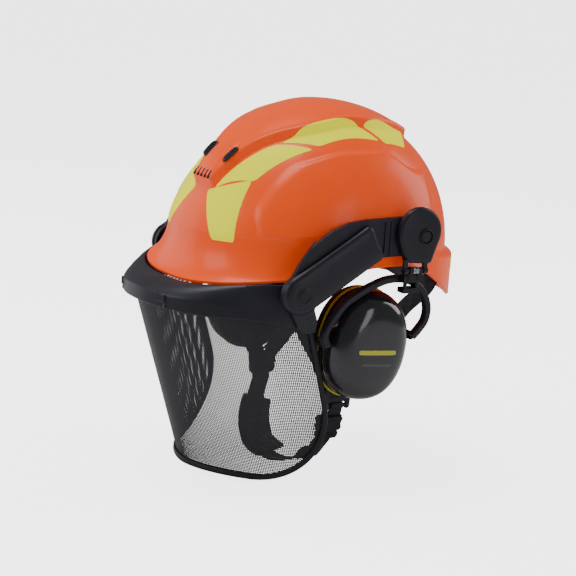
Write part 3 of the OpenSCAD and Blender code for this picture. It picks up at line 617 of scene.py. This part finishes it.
make_guard()
for side, word in SIDES:
    phi = atan2(33 * side, 166)
    c = Vector((sin(phi), -cos(phi), 0))
    t = Vector((cos(phi), sin(phi), 0))
    r, z = lip_r(phi), lip_low(phi) + 11
    turn = (0, 0, degrees(phi))
    frame_parts = [block(c * (r - 0.2) + Vector((0, 0, z - 5.2)), (11, 2.0, 1.4), turn),
                   block(c * (r - 0.2) + t * 5.0 + Vector((0, 0, z - 2.4)), (1.4, 2.0, 6.4), turn),
                   block(c * (r - 0.2) - t * 5.0 + Vector((0, 0, z - 2.4)), (1.4, 2.0, 6.4), turn),
                   block(c * (r - 1.0) + Vector((0, 0, z - 2.4)), (2.0, 2.6, 4.6), turn)]
    piece(f"brow_hook_{word}", *merged(frame_parts), "visor", "arm_plastic", brow_black, bevel=0.3)
    window = block(c * (r - 0.4) + Vector((0, 0, z - 2.2)), (8.8, 1.4, 5.0), turn)
    piece(f"brow_window_{word}", *window, "visor", "arm_plastic", matt_black, bevel=0.3)

VISOR_W, VISOR_D, VISOR_L, VISOR_LEAN, CORNER = 100, 104, 177, radians(17), 76
VISOR_Y = -65  # where the sheet's side edges stand
VISOR_POWER = 1.72  # below 2, so its front is more pointed than an ellipse
TURN_H = VISOR_W * 1.45
SIDE_TOP = 28  # where the edge rail starts, down the slope


def visor_point(u, s, out=0.0):
    """Point of the visor's sheet: u millimetres round it from the middle, s down its slope."""
    t = u / TURN_H * pi / 2
    r = (abs(sin(t)) ** VISOR_POWER + abs(cos(t)) ** VISOR_POWER) ** (-1 / VISOR_POWER)
    k = 1 - 0.05 * s / 180
    y = VISOR_Y - VISOR_D * k * r * cos(t) + sin(VISOR_LEAN) * s
    p = Vector((VISOR_W * k * r * sin(t), y, -cos(VISOR_LEAN) * s))
    return p + Vector((sin(t), -cos(t), 0)) * out


def visor_top(u):
    return 12 + 18 * ease(0.5, 1, abs(u) / TURN_H)


def visor_edge(u):
    a = abs(u) - (TURN_H - CORNER)
    return VISOR_L if a <= 0 else VISOR_L - CORNER + sqrt(max(0, CORNER * CORNER - a * a))


def make_mesh():
    """Wire mesh: flat wires down the sheet and round it, crossing each other."""
    pitch = 1.55
    half, thick = 0.44, 0.16  # of one wire's width and thickness
    parts = []
    count = int(2 * TURN_H / pitch)
    for i in range(1, count):
        u = -TURN_H + 2 * TURN_H * i / count
        top, low = visor_top(u), visor_edge(u) - 0.6
        if low - top < pitch:
            continue
        n = 14
        rings = []
        for k in range(n + 1):
            s = top + (low - top) * k / n
            rings.append([visor_point(u - half, s, thick), visor_point(u + half, s, thick),
                          visor_point(u + half, s, -thick), visor_point(u - half, s, -thick)])
        parts.append(loft(rings))
    rows = int(VISOR_L / pitch)
    for k in range(5, rows):
        s = VISOR_L * k / rows
        reach = TURN_H
        if s > VISOR_L - CORNER:
            a = s - (VISOR_L - CORNER)
            reach = TURN_H - CORNER + sqrt(max(0, CORNER * CORNER - a * a))
        if s < 30:
            reach = next((u for u in (TURN_H * f / 40 for f in range(40, 0, -1)) if visor_top(u) < s), 0)
        if reach < pitch:
            continue
        n = 56
        rings = []
        for j in range(n + 1):
            u = -reach + 2 * reach * j / n
            rings.append([visor_point(u, s - half, thick * 1.2), visor_point(u, s + half, thick * 1.2),
                          visor_point(u, s + half, -thick * 1.2), visor_point(u, s - half, -thick * 1.2)])
        parts.append(loft(rings))
    piece("visor_wire", *merged(parts), "visor", "mesh", wire_black, "visor_mesh", sharp=30)


make_mesh()


def rail_place(k):
    """(u, s) along the sheet's edge: k runs from 0 at the left top by the bottom to 2 at the right top."""
    side, bend, flat = VISOR_L - CORNER - SIDE_TOP, CORNER * pi / 2, TURN_H - CORNER
    d = (k if k <= 1 else 2 - k) * (side + bend + flat)
    sign = 1 if k <= 1 else -1
    if d <= side:
        return sign * TURN_H, SIDE_TOP + d
    if d <= side + bend:
        a = (d - side) / CORNER
        return sign * (flat + CORNER * cos(a)), VISOR_L - CORNER + CORNER * sin(a)
    return sign * (flat - (d - side - bend)), VISOR_L


def make_rail():
    n = 220
    places = [rail_place(2 * i / n) for i in range(n + 1)]
    line = [visor_point(u, s) for u, s in places]
    rings = []
    for i, (u, s) in enumerate(places):
        t = u / TURN_H * pi / 2
        d = tangent(line, i)
        out = Vector((sin(t), -cos(t), 0))
        out = (out - out.dot(d) * d).normalized()
        across = d.cross(out)
        rings.append([line[i] + across * a + out * (b + 1.6) for a, b in ellipse(2.65, 1.65, 14, 2.8)])
    piece("visor_edge_rail", *loft(rings), "visor", "edge_rail", rail_black, "visor_frame", sharp=60)


make_rail()

# ---- visor arms ----------------------------------------------------------
CORE_X, CORE_T, COVER_X, BRACKET_X = 108, 5, 113.3, 113.5
SLEEVE = (arc(*SCREW, 17, 123, 303, 30)
          + arc(-2.2, 33.8, 4.5, 303, 395, 8) + arc(-14.2, 55.0, 4.5, 25, 123, 8))
SLEEVE_SPINE = (SCREW, (-14, 41))
SWELL = ((0, 0), (0, 2.6), (0.03, 3.8), (0.10, 5.1), (0.22, 6.0), (0.42, 6.7), (0.7, 7.0), (0.97, 7.1))
CORE = (arc(*SCREW, 16.4, 118, 300, 20) + [(-62, -4), (-30, 16), (4, 31), (28, 31.5)]
        + arc(*SHAFT, 16.5, 268, 452, 20)
        + [(26, 66), (4, 65), (-14, 64.5), (-31, 62.5), (-47, 57), (-56, 51.5), (-59, 48.5),
           (-64, 47), (-69, 41), (-78, 30)])


def boss(x, place, side, *shape, **more):
    """A drum on the outside of either side, at a (y, z) place."""
    return drum((x * side, *place), (side, 0, 0), *shape, **more)


for side, word in SIDES:
    swell = [(inward, COVER_X + rise) for inward, rise in SWELL]
    piece(f"sleeve_{word}", *pod(SLEEVE, SLEEVE_SPINE, swell, side), "visor_arms", "arm_plastic", black,
          f"visor_arm_{word}", sharp=44)
    disc = boss(COVER_X + 4.5, SCREW, side, 12.6, 2.1, 48, chamfer=1.0)
    ring = boss(COVER_X + 6.2, SCREW, side, 7.6, 1.1, 40, bore=5.6, chamfer=0.4)
    piece(f"pivot_disc_{word}", *merged([disc, ring]), "visor_arms", "arm_plastic", black, sharp=35)
    head = boss(COVER_X + 6.2, SCREW, side, 5.3, 1.5, 32, chamfer=0.6)
    well = boss(COVER_X + 7.0, SCREW, side, 2.6, 0.9, 6, chamfer=0.3)
    piece(f"pivot_screw_{word}", *merged([head, well]), "visor_arms", "arm_plastic", matt_black, sharp=35)
    core = plate(CORE, CORE_X, CORE_X + CORE_T, side)
    piece(f"core_{word}", *core, "visor_arms", "arm_plastic", black, f"arm_core_{word}", bevel=1.0)
    ribs = [plate([(y, 33 - 0.15 * y), (y + 2, 33), (y + 2, 62), (y, 62)], CORE_X + 4.6, CORE_X + 6.0, side)
            for y in (4, 10)]
    piece(f"core_rib_{word}", *merged(ribs), "visor_arms", "arm_plastic", black, bevel=0.5)

# ---- ear muffs -----------------------------------------------------------
BRACKET = (arc(38, 52, 22, -28, 205, 44) + arc(28, 30.5, 4, 190, 262, 6)
           + arc(48.5, 28.8, 4, 262, 335, 6))
BRACKET_SWELL = ((0, 0), (0, 4.4), (0.04, 5.5), (0.10, 6.2), (0.2, 6.5), (0.97, 6.5))
YOKE = ((-42.5, -44), (-46, -32), (-30.5, -10.5), (-15, -0.5), (-1, 6), (15, 10.5), (31, 10), (45, 4.5),
        (54, -5), (58.5, -17), (57, -28), (51, -36), (44.8, -42))
YOKE_X, PIN_X, PIN_Z, LUG_X = 108, 99.6, -42, 119
CUP_Y, CUP_Z, CUP_HALF_W, CUP_HALF_H = 1, -48, 39.5, 48.5
LEAN = rotation(-8, "X")
# (x, growth of the outline) round the sections of the cup, its rim, the cushion and the ear foam
CUP = ((118, -17), (115, -10.5), (109, -5.6), (92.2, -4), (92, -3), (92, -0.9), (92.4, -0.35), (94.2, -0.1),
       (95.0, -0.75), (95.7, -0.1), (98, 0), (101, -0.2), (104, -0.8), (107.5, -1.8), (110.5, -3.0),
       (113, -4.4), (115.3, -6.2), (117.2, -8.4), (118.7, -10.9), (119.8, -13.8), (120.6, -17.4),
       (121.1, -22), (121.4, -28), (121.5, -35))
CUP_RIM = ((88.5, -0.9), (89, -0.3), (91.2, -0.3), (91.7, -0.9), (91.7, -16), (88.4, -16))
CUSHION = ((88.2, -3.2), (87.2, -1.4), (85.2, -0.3), (82.5, 0.2), (79.6, -0.2), (77, -1.4), (75, -3.4),
           (73.7, -6), (73.2, -8.8), (73.5, -11.4), (74.6, -13.8), (76.6, -15.6), (79.4, -16.4),
           (83, -16.2), (88.2, -15.4))
PIPING = [(87.6 + 1.25 * cos(2 * pi * k / 12), -0.1 + 1.25 * sin(2 * pi * k / 12)) for k in range(12)]
EAR_FOAM = ((82.3, -37), (82.2, -30), (82, -23), (82.3, -19.5), (83.2, -17.6), (85, -17.1),
            (91, -17.1), (91, -37))
MARK_LONG = ((-18, -46.5), (20, -49.5), (20, -53.5), (-18, -50.5))
MARK_SHORT = ((-14, -58.5), (16, -61), (16, -63.5), (-14, -61))


def cup_ring(x, grow, side, n=96):
    ring = []
    for k in range(n):
        a = 2 * pi * k / n
        r = oval(a, CUP_HALF_W + grow, CUP_HALF_H + grow, CUP_HALF_H + grow, 2.2)
        q = LEAN @ Vector((0, r * sin(a), r * cos(a)))
        ring.append(Vector((x * side, CUP_Y + q.y, CUP_Z + q.z)))
    return ring


def ring_pad(profile_points, side, n=96):
    return loft([cup_ring(x, g, side, n) for x, g in profile_points], loop=True)


for side, word in SIDES:
    swell = [(inward, BRACKET_X + rise) for inward, rise in BRACKET_SWELL]
    piece(f"bracket_{word}", *pod(BRACKET, ((40, 52), (38, 33)), swell, side), f"bracket_{word}",
          "arm_plastic", black, f"ear_bracket_{word}", sharp=40)
    lugs = [drum((LUG_X * side, y, 19.5), (0, 1, 0), 3, 4.5, 28, chamfer=0.4) for y in (22, 42.5)]
    lugs += [block(((LUG_X - 0.4) * side, y + 2.25, 25), (2.6, 4.4, 10)) for y in (22, 42.5)]
    piece(f"hinge_lugs_{word}", *merged(lugs), f"bracket_{word}", "arm_plastic", black, bevel=0.4)
    button = boss(BRACKET_X + 6.3, SHAFT, side, 6.8, 1.6, 40, bore=5.9, chamfer=0.4)
    cap = boss(BRACKET_X + 6.0, SHAFT, side, 5.4, 1.5, 36, chamfer=0.7)
    piece(f"button_{word}", *merged([button, cap]), "helmet", "arm_plastic", matt_black,
          f"pivot_button_{word}", sharp=35)

    line = [Vector((YOKE_X * side, p.x, p.y)) for p in path([(y, z, 0) for y, z in YOKE], 110)]
    section = [(4.0 * a, 3.3 * b) for a, b in ellipse(1, 1, 16, 3.2)]
    yoke = [loft(sweep(line, section, Vector((1, 0, 0))))]
    yoke += [block((111.8 * side, 34.5, 1.3), (9.4, 17, 4.4))]
    yoke += [drum((114.6 * side, y, 0), (0, 0, 1), 1.8, 19, 20, chamfer=0.4) for y in (28.5, 40.5)]
    yoke += [block((101.1 * side, y, PIN_Z), (10, 3.2, 7)) for y in (46.6, -44.1)]
    yoke += [drum((PIN_X * side, y, PIN_Z), (0, 1, 0), 2.5, h, 20) for y, h in ((41.8, 4), (-43.7, 4.8))]
    piece(f"yoke_{word}", *merged(yoke), f"yoke_{word}", "arm_plastic", black, f"ear_yoke_{word}",
          sharp=50, bevel=0.4)

    cup = piece(f"cup_{word}", *loft([cup_ring(x, g, side) for x, g in CUP]), f"cup_{word}",
                "cup_gloss", gloss, f"cup_shell_{word}", sharp=50)
    lugs = [drum((PIN_X * side, y, PIN_Z), (0, 1, 0), 4, 4.5, 28, bore=2.6, chamfer=0.3)
            for y in (-42.2, 40.2)]
    piece(f"cup_rim_{word}", *merged([ring_pad(CUP_RIM, side)] + lugs), f"cup_{word}", "cup_matt",
          matt_black, f"cup_plate_{word}", sharp=40)
    cushion = piece(f"cushion_{word}", *ring_pad(CUSHION, side), f"cup_{word}", "cushion_skin", skin,
                    f"ear_cushion_{word}", sharp=70)
    piece(f"piping_{word}", *ring_pad(PIPING, side, 120), f"cup_{word}", "piping", piping_yellow,
          f"cushion_piping_{word}", sharp=70)
    lining = piece(f"ear_lining_{word}", *loft([cup_ring(x, g, side) for x, g in EAR_FOAM]), f"cup_{word}",
                   "foam", foam, f"ear_foam_{word}", sharp=60)
    cup_skin = skin_of(cup)

    def on_cup(p, lift):
        return meet(cup_skin, Vector((300 * side, p.y, p.z)), Vector((-side, 0, 0)), lift)

    for name, corners, material in (("long_bar", MARK_LONG, pale_mark), ("short_bar", MARK_SHORT, grey_mark)):
        film = decal(corners, lambda y, z: Vector((0, y, z)), 1, n=10, round_by=0.12, lift=0.12,
                     thick=0.3, onto=on_cup)
        piece(f"{name}_{word}", *film, f"cup_{word}", "cup_gloss", material, sharp=50)


# ---- harness: bands, crown straps, nape ratchet --------------------------
BAND_W, BAND_L, BAND_Z = 80, 99, 14


def band_r(phi):
    return oval(phi, BAND_W, BAND_L, BAND_L, 2.3)


def band(start, end, steps, section, drop=0):
    """A band round the head: section is a list of (outwards, up) for a turn angle."""
    rings = []
    for i in range(steps + 1):
        turn = start + (end - start) * i / steps
        phi = radians(turn)
        c = Vector((sin(phi), -cos(phi), 0))
        z = BAND_Z - drop * ease(90, 150, spread(phi))
        rings.append([c * (band_r(phi) + a) + Vector((0, 0, z + b)) for a, b in section(turn)])
    return loft(rings)


def rounded_strip(inner, outer, low, high, r=0.7):
    return [(inner, low + r), (inner + r, low), (outer - r, low), (outer, low + r),
            (outer, high - r), (outer - r, high), (inner + r, high), (inner, high - r)]


def headband_section(turn):
    return rounded_strip(0, 1.8, 0, 30)


def nape_section(turn):
    edge = 3.5 * ease(60, 80, abs(turn - 180))
    return rounded_strip(3.2, 5.0, 4 + edge, 24 - edge)


def pad_section(inner, outer, low, high, half_turn, middle):
    """A soft pad's section, thinner at its two ends and creased by stitching near its edges."""
    def at(turn):
        end = 1 - ease(half_turn - 6, half_turn, abs(turn - middle))
        puff = (outer - inner) * (0.35 + 0.65 * end) * (1 + 0.06 * cos(radians(turn * 40)))
        face = []
        for k in range(13):
            rise = min(1, 4.5 * min(k, 12 - k) / 12 + 0.35) * (0.80 if k in (2, 10) else 1)
            face.append((outer - puff * rise, low + (high - low) * k / 12))
        return [(outer, low)] + face + [(outer, high)]
    return at


NAPE_Y, NAPE_Z, NAPE_DROP = 104, 4, 24
piece("headband_strip", *band(-102, 102, 120, headband_section), "helmet", "harness_plastic", matt_black,
      "headband", sharp=45)
sweat = piece("sweatband_pad", *band(-62, 62, 150, pad_section(-4.3, -0.3, 1, 29, 62, 0)), "helmet",
              "foam", cloth, "sweatband", sharp=70)
piece("nape_strip", *band(100, 260, 100, nape_section, NAPE_DROP), "nape", "harness_plastic", matt_black,
      "nape_band", sharp=45)
nape_soft = piece("nape_cushion", *band(158, 202, 60, pad_section(-1.4, 2.6, 3, 25, 22, 180), NAPE_DROP),
                  "nape", "foam", cloth, "nape_pad", sharp=70)

housing = []
for out, half, r in ((1.4, 25.4, 11.4), (2.4, 26, 12), (7.4, 26, 12), (8.8, 25, 10.8), (9.2, 22, 8.6)):
    hollow = 0.0016 if out < 2 else 0  # the side towards the head is curved to it
    housing.append([Vector((a, NAPE_Y + out - hollow * a * a, NAPE_Z + b)) for a, b in stadium(half, r, 18)])
collar = drum((0, NAPE_Y + 8.8, NAPE_Z), (0, 1, 0), 9, 2.1, 40, bore=4.2, chamfer=0.5)
grooves = [block((x, NAPE_Y + 9.3, NAPE_Z), (1.4, 1.0, 14 - abs(x) * 0.12))
           for x in (-32, -28, -24, 24, 28, 32)]
piece("ratchet_housing", *merged([loft(housing), collar] + grooves), "nape", "harness_plastic", black,
      "nape_housing", sharp=38)
knob_profile = ((0.0, 13.2), (0.8, 14.6), (6.6, 14.6), (8.2, 13.4), (8.9, 11.6), (8.9, 9.0),
                (7.9, 8.2), (7.9, 0.6))


def knob_ring(y, r, n=144, flutes=18):
    """A ring round the knob; its wide part is fluted for the fingers."""
    ring = []
    for k in range(n):
        a = 2 * pi * k / n
        q = r + (0.55 * max(-0.4, cos(flutes * a)) if r > 11 else 0)
        ring.append(Vector((q * cos(a), NAPE_Y + 11.5 + y, NAPE_Z + q * sin(a))))
    return ring


spindle = drum((0, NAPE_Y + 4, NAPE_Z), (0, 1, 0), 3.9, 8, 32)
bar = [block((0, NAPE_Y + 19.6, NAPE_Z), (13, 1.4, 3.0))]
knob = loft([knob_ring(y, r) for y, r in knob_profile])
piece("ratchet_knob", *merged([knob, spindle] + bar), "knob", "harness_plastic", matt_black, "nape_knob",
      sharp=38)


def ribbon(points, side, width, thick, steps):
    """Woven tape along a smooth line: a thin section with rounded, slightly thicker edges."""
    a, b = width / 2, thick / 2
    section = [(-a, 0), (-a + 0.3, -b), (-a + 1.4, -b), (-a + 2.0, -b * 0.72), (0, -b * 0.78),
               (a - 2.0, -b * 0.72), (a - 1.4, -b), (a - 0.3, -b), (a, 0), (a - 0.3, b), (a - 1.4, b),
               (a - 2.0, b * 0.72), (0, b * 0.78), (-a + 2.0, b * 0.72), (-a + 1.4, b), (-a + 0.3, b)]
    return loft(sweep(path(points, steps), section, Vector(side)))


def tape(name, points, side, width, thick, body, node, steps=60):
    ob = piece(name, *ribbon(points, side, width, thick, steps), body, "webbing", webbing, node, sharp=60)
    return ob


def inner_r(phi, z):
    m = profile_power(phi)
    return dome_oval(phi) * (1 - ((z - BASE_Z) / (DOME_H - BASE_Z)) ** m) ** (1 / m) - WALL


for turn, layer, word in ((32, 2, "front"), (90, 0, "middle"), (148, 1, "rear")):
    phi = radians(turn)
    c = Vector((sin(phi), -cos(phi), 0))
    r, q, top = inner_r(phi, 34) - 5, inner_r(phi + pi, 34) - 5, 116 + 2 * layer
    up = Vector((0, 0, 1))
    points = [c * r + up * 30, c * r * 0.93 + up * 66, c * r * 0.62 + up * 98, c * r * 0.25 + up * (top - 2),
              up * top, -c * q * 0.25 + up * (top - 2), -c * q * 0.62 + up * 98, -c * q * 0.93 + up * 66,
              -c * q + up * 30]
    tape(f"crown_tape_{word}", points, (cos(phi), sin(phi), 0), 18, 1.4, "helmet", f"crown_strap_{word}",
         90)

# ---- chin harness --------------------------------------------------------
FACE_X = 64  # the dividers stand this far from the middle
BAR_Z = -112.5  # the dividers' lower bars, which the buckle and the chin strap hang on
FRONT_ROUTE = ((91, -60, 26), (82, -57, 2), (70, -50, -20), (65.5, -38, -42), (64, -16, -75), (64, -4, -98))
REAR_ROUTE = ((80, 86, 12), (76, 80, -8), (69, 62, -28), (65, 44, -56), (64, 24, -82), (64, 8, -98))
CHIN_ROUTE = ((-64, 2, -120.5), (-63, -3, -138), (-55, -10, -158), (-34, -18, -173), (0, -20, -177),
              (30, -15, -170), (48, -8, -156), (56, -4, -143))
PAD_ROUTE = ((-60.5, -3, -138), (-52.5, -10, -155.5), (-32.5, -17.5, -169.5), (-4, -19.5, -173.2))
for side, word in SIDES:
    tape(f"front_tape_{word}", mirrored(FRONT_ROUTE, side), (0, 1, 1), 16, 1.5, "helmet",
         f"strap_front_{word}")
    tape(f"rear_tape_{word}", mirrored(REAR_ROUTE, side), (0, 1, -1), 16, 1.5, "helmet",
         f"strap_rear_{word}")
    outline = arc(-9, -98, 3, 90, 180, 6) + arc(-7.8, -113, 3, 180, 270, 6)
    outline += [(-7.4, -116), (-7.4, -109.1), (11.4, -109.1), (11.4, -116)]
    outline += arc(11.8, -113, 3, 270, 360, 6) + arc(13, -98, 3, 0, 90, 6)
    bar = drum((FACE_X * side, -8, BAR_Z), (0, 1, 0), 1.5, 20, 20, chamfer=0.2)
    ribs = [block(((FACE_X + 2.1) * side, 2, z), (0.8, 15, 1.2)) for z in (-99.5, -102, -104.5)]
    divider = plate(outline, FACE_X - 2.4, FACE_X + 1.8, side)
    piece(f"strap_slide_{word}", *merged([divider, bar] + ribs), "helmet", "harness_plastic", black,
          f"strap_divider_{word}", bevel=0.4)

tape("chin_tape", CHIN_ROUTE, (0, 1, 0), 18, 1.5, "chin", "chin_strap", 90)
loop_outer = arc(-FACE_X, BAR_Z, 3.0, 0, 180, 12)
loop_outer += [(-65.5, -116), (-65.4, -123), (-62.6, -123), (-62.5, -116)]
loop_rings = [[Vector((x, y, z)) for x, z in loop_outer] for y in (-6.5, 10.5)]
stitches = [block((-64, y, z), (3.3, 2.2, 0.5)) for y in (-4, 0, 4, 8) for z in (-118, -121.5)]
piece("chin_fold", *merged([loft(loop_rings)] + stitches), "chin", "webbing", webbing, "chin_loop", bevel=0.3)


def pad_ribbon(points, side, width, thick, steps):
    section = []
    for k in range(25):
        a = -1 + 2 * k / 24
        section.append((width / 2 * a, thick / 2 * (1 - abs(a) ** 4) * (0.72 if k in (3, 21) else 1)))
    section += [(width / 2 * (1 - 2 * k / 8), -thick / 2 * 0.9) for k in range(1, 8)]
    rings = []
    line = path(points, steps)
    for i, p in enumerate(line):
        d = tangent(line, i)
        s = (Vector(side) - Vector(side).dot(d) * d).normalized()
        ends = 0.45 + 0.55 * ease(0, 0.07, min(i, steps - i) / steps)
        rings.append([p + s * a * (0.8 + 0.2 * ends) + d.cross(s) * b * ends for a, b in section])
    return loft(rings)


chin_cup = piece("chin_cushion", *pad_ribbon(PAD_ROUTE, (0, 1, 0.3), 30, 4, 70), "chin", "foam", cloth,
                 "chin_pad", sharp=60)

BUCKLE = rotation(13, "Y")


def on_buckle(part):
    return placed(part, BUCKLE, (59, -2.5, -133))


def shield(half, low, high, x0, x1, waist=0.0):
    """A rounded plate across the webbing, narrowed at its middle by waist."""
    middle = (low + high) / 2
    outline = arc(half - 3, low + 3, 3, 270, 360, 6) + [(half - waist, middle)]
    outline += arc(half - 3, high - 3, 3, 0, 90, 6) + arc(-half + 3, high - 3, 3, 90, 180, 6)
    outline += [(-half + waist, middle)] + arc(-half + 3, low + 3, 3, 180, 270, 6)
    return plate(outline, x0, x1)


socket = [on_buckle(shield(12, -3, 11, 2.3, 4, 1.2)), on_buckle(shield(12, -3, 11, -4, -2.3, 1.2))]
socket += [on_buckle(block((0, y, 4), (4.7, 3.4, 14))) for y in (-10.2, 10.2)]
socket += [on_buckle(block((0, 0, 10), (4.7, 18, 2))), on_buckle(block((4.1, 0, 5), (0.6, 10, 5)))]
tube = drum((FACE_X, -5, BAR_Z), (0, 1, 0), 3.0, 13, 32, bore=1.56, chamfer=0.3)
neck = placed(block((0, -0.5, -6.1), (2.4, 13, 8.6)), BUCKLE, (FACE_X, 2, BAR_Z))
piece("buckle_body", *merged(socket + [tube, neck]), "helmet", "harness_plastic", black, "buckle_socket",
      bevel=0.45)
tongue = [on_buckle(shield(11, -11.6, -3.7, -2.5, 2.5))]
tongue += [on_buckle(block((0, y, 1.5), (2.2, 2.6, 11))) for y in (-5.5, 5.5)]
tongue += [on_buckle(block((2.7, 0, z), (0.7, 14, 0.9))) for z in (-9.4, -7.6, -5.8)]
piece("buckle_insert", *merged(tongue), "chin", "harness_plastic", matt_black, "buckle_tongue", bevel=0.4)
slide_parts = [block((x, 0, 0), (2.6, 23.6, 4.8)) for x in (-5.6, 0, 5.6)]
slide_parts += [block((0, y, 0), (13.8, 2.4, 4.8)) for y in (-10.7, 10.7)]
adjuster = placed(merged(slide_parts), rotation(8, "Z") @ rotation(-50, "Y"), (44, -10, -160))
piece("tape_slide", *adjuster, "chin", "harness_plastic", black, "strap_adjuster", bevel=0.5)

# ---- fittings kept from the CAD ------------------------------------------
nodes = frame["nodes"]
KEPT = {"harness_clips": matt_black, "visor_brackets": brow_black, "visor_pivot_screws": matt_black}
for word in ("left", "right"):
    KEPT[f"vent_shutter_{word}"] = matt_black
    KEPT[f"slot_adapter_{word}"] = black
    KEPT[f"ear_carrier_{word}"] = matt_black
    KEPT[f"ear_spring_{word}"] = steel
for name, material in KEPT.items():
    node = nodes[name]
    node.data.materials.clear()
    node.data.materials.append(material)
    node.data.polygons.foreach_set("material_index", [0] * len(node.data.polygons))


# ---- floor, light, the studio's white ------------------------------------
FLOOR_SEEN, WORLD_SEEN, WORLD_LIGHT = 3.2, 3.6, 0.22
FLOOR_HALF = 9  # metres


def seen_only(tree, socket, seen, other):
    """Drives a strength so that the camera sees one value and the rest of the light another."""
    rays = tree.nodes.new("ShaderNodeLightPath")
    mix = tree.nodes.new("ShaderNodeMapRange")
    mix.inputs["To Min"].default_value = other
    mix.inputs["To Max"].default_value = seen
    tree.links.new(rays.outputs["Is Camera Ray"], mix.inputs["Value"])
    tree.links.new(mix.outputs["Result"], socket)


lo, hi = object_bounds()
pale = bpy.data.materials.new("pale_floor")
pale.use_nodes = True
paint = pale.node_tree.nodes["Principled BSDF"]
paint.inputs["Base Color"].default_value = (0.93, 0.93, 0.93, 1)
paint.inputs["Roughness"].default_value = 0.9
paint.inputs["Emission Color"].default_value = (1, 1, 1, 1)
seen_only(pale.node_tree, paint.inputs["Emission Strength"], FLOOR_SEEN, 0.0)
me = bpy.data.meshes.new("floor")
ground = lo.z - 0.002
corners = [(x * FLOOR_HALF, y * FLOOR_HALF, ground) for x, y in ((-1, -1), (1, -1), (1, 1), (-1, 1))]
me.from_pydata(corners, [], [(0, 1, 2, 3)])
me.materials.append(pale)
floor = bpy.data.objects.new("floor", me)
bpy.context.scene.collection.objects.link(floor)
floor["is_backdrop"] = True


def area_light(name, at, target, size, power):
    lamp = bpy.data.lights.new(name, "AREA")
    lamp.shape = "RECTANGLE"
    lamp.size, lamp.size_y = size
    lamp.energy = power
    ob = bpy.data.objects.new(name, lamp)
    ob.location = at
    ob.rotation_mode = "QUATERNION"
    ob.rotation_quaternion = (Vector(target) - Vector(at)).to_track_quat("-Z", "Y")
    bpy.context.scene.collection.objects.link(ob)
    ob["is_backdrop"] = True


area_light("top_softbox", (-0.25, -0.25, 1.3), (0, 0, 0.05), (0.7, 0.7), 11)
area_light("key_softbox", (-0.35, -1.45, 0.75), (0, 0, 0), (0.8, 0.8), 8)
area_light("side_softbox", (1.45, 0.35, 0.35), (0, 0, -0.03), (0.35, 1.0), 3.2)
area_light("rear_softbox", (0.3, 1.3, 0.6), (0, 0, 0.05), (0.6, 0.9), 7)
area_light("fill_softbox", (-1.3, -0.7, 0.3), (0, 0, 0), (1.0, 1.0), 4)
world = bpy.data.worlds.new("studio")
world.use_nodes = True
air = world.node_tree.nodes["Background"]
air.inputs["Color"].default_value = (1, 1, 1, 1)
seen_only(world.node_tree, air.inputs["Strength"], WORLD_SEEN, WORLD_LIGHT)
bpy.context.scene.world = world

lo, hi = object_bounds()
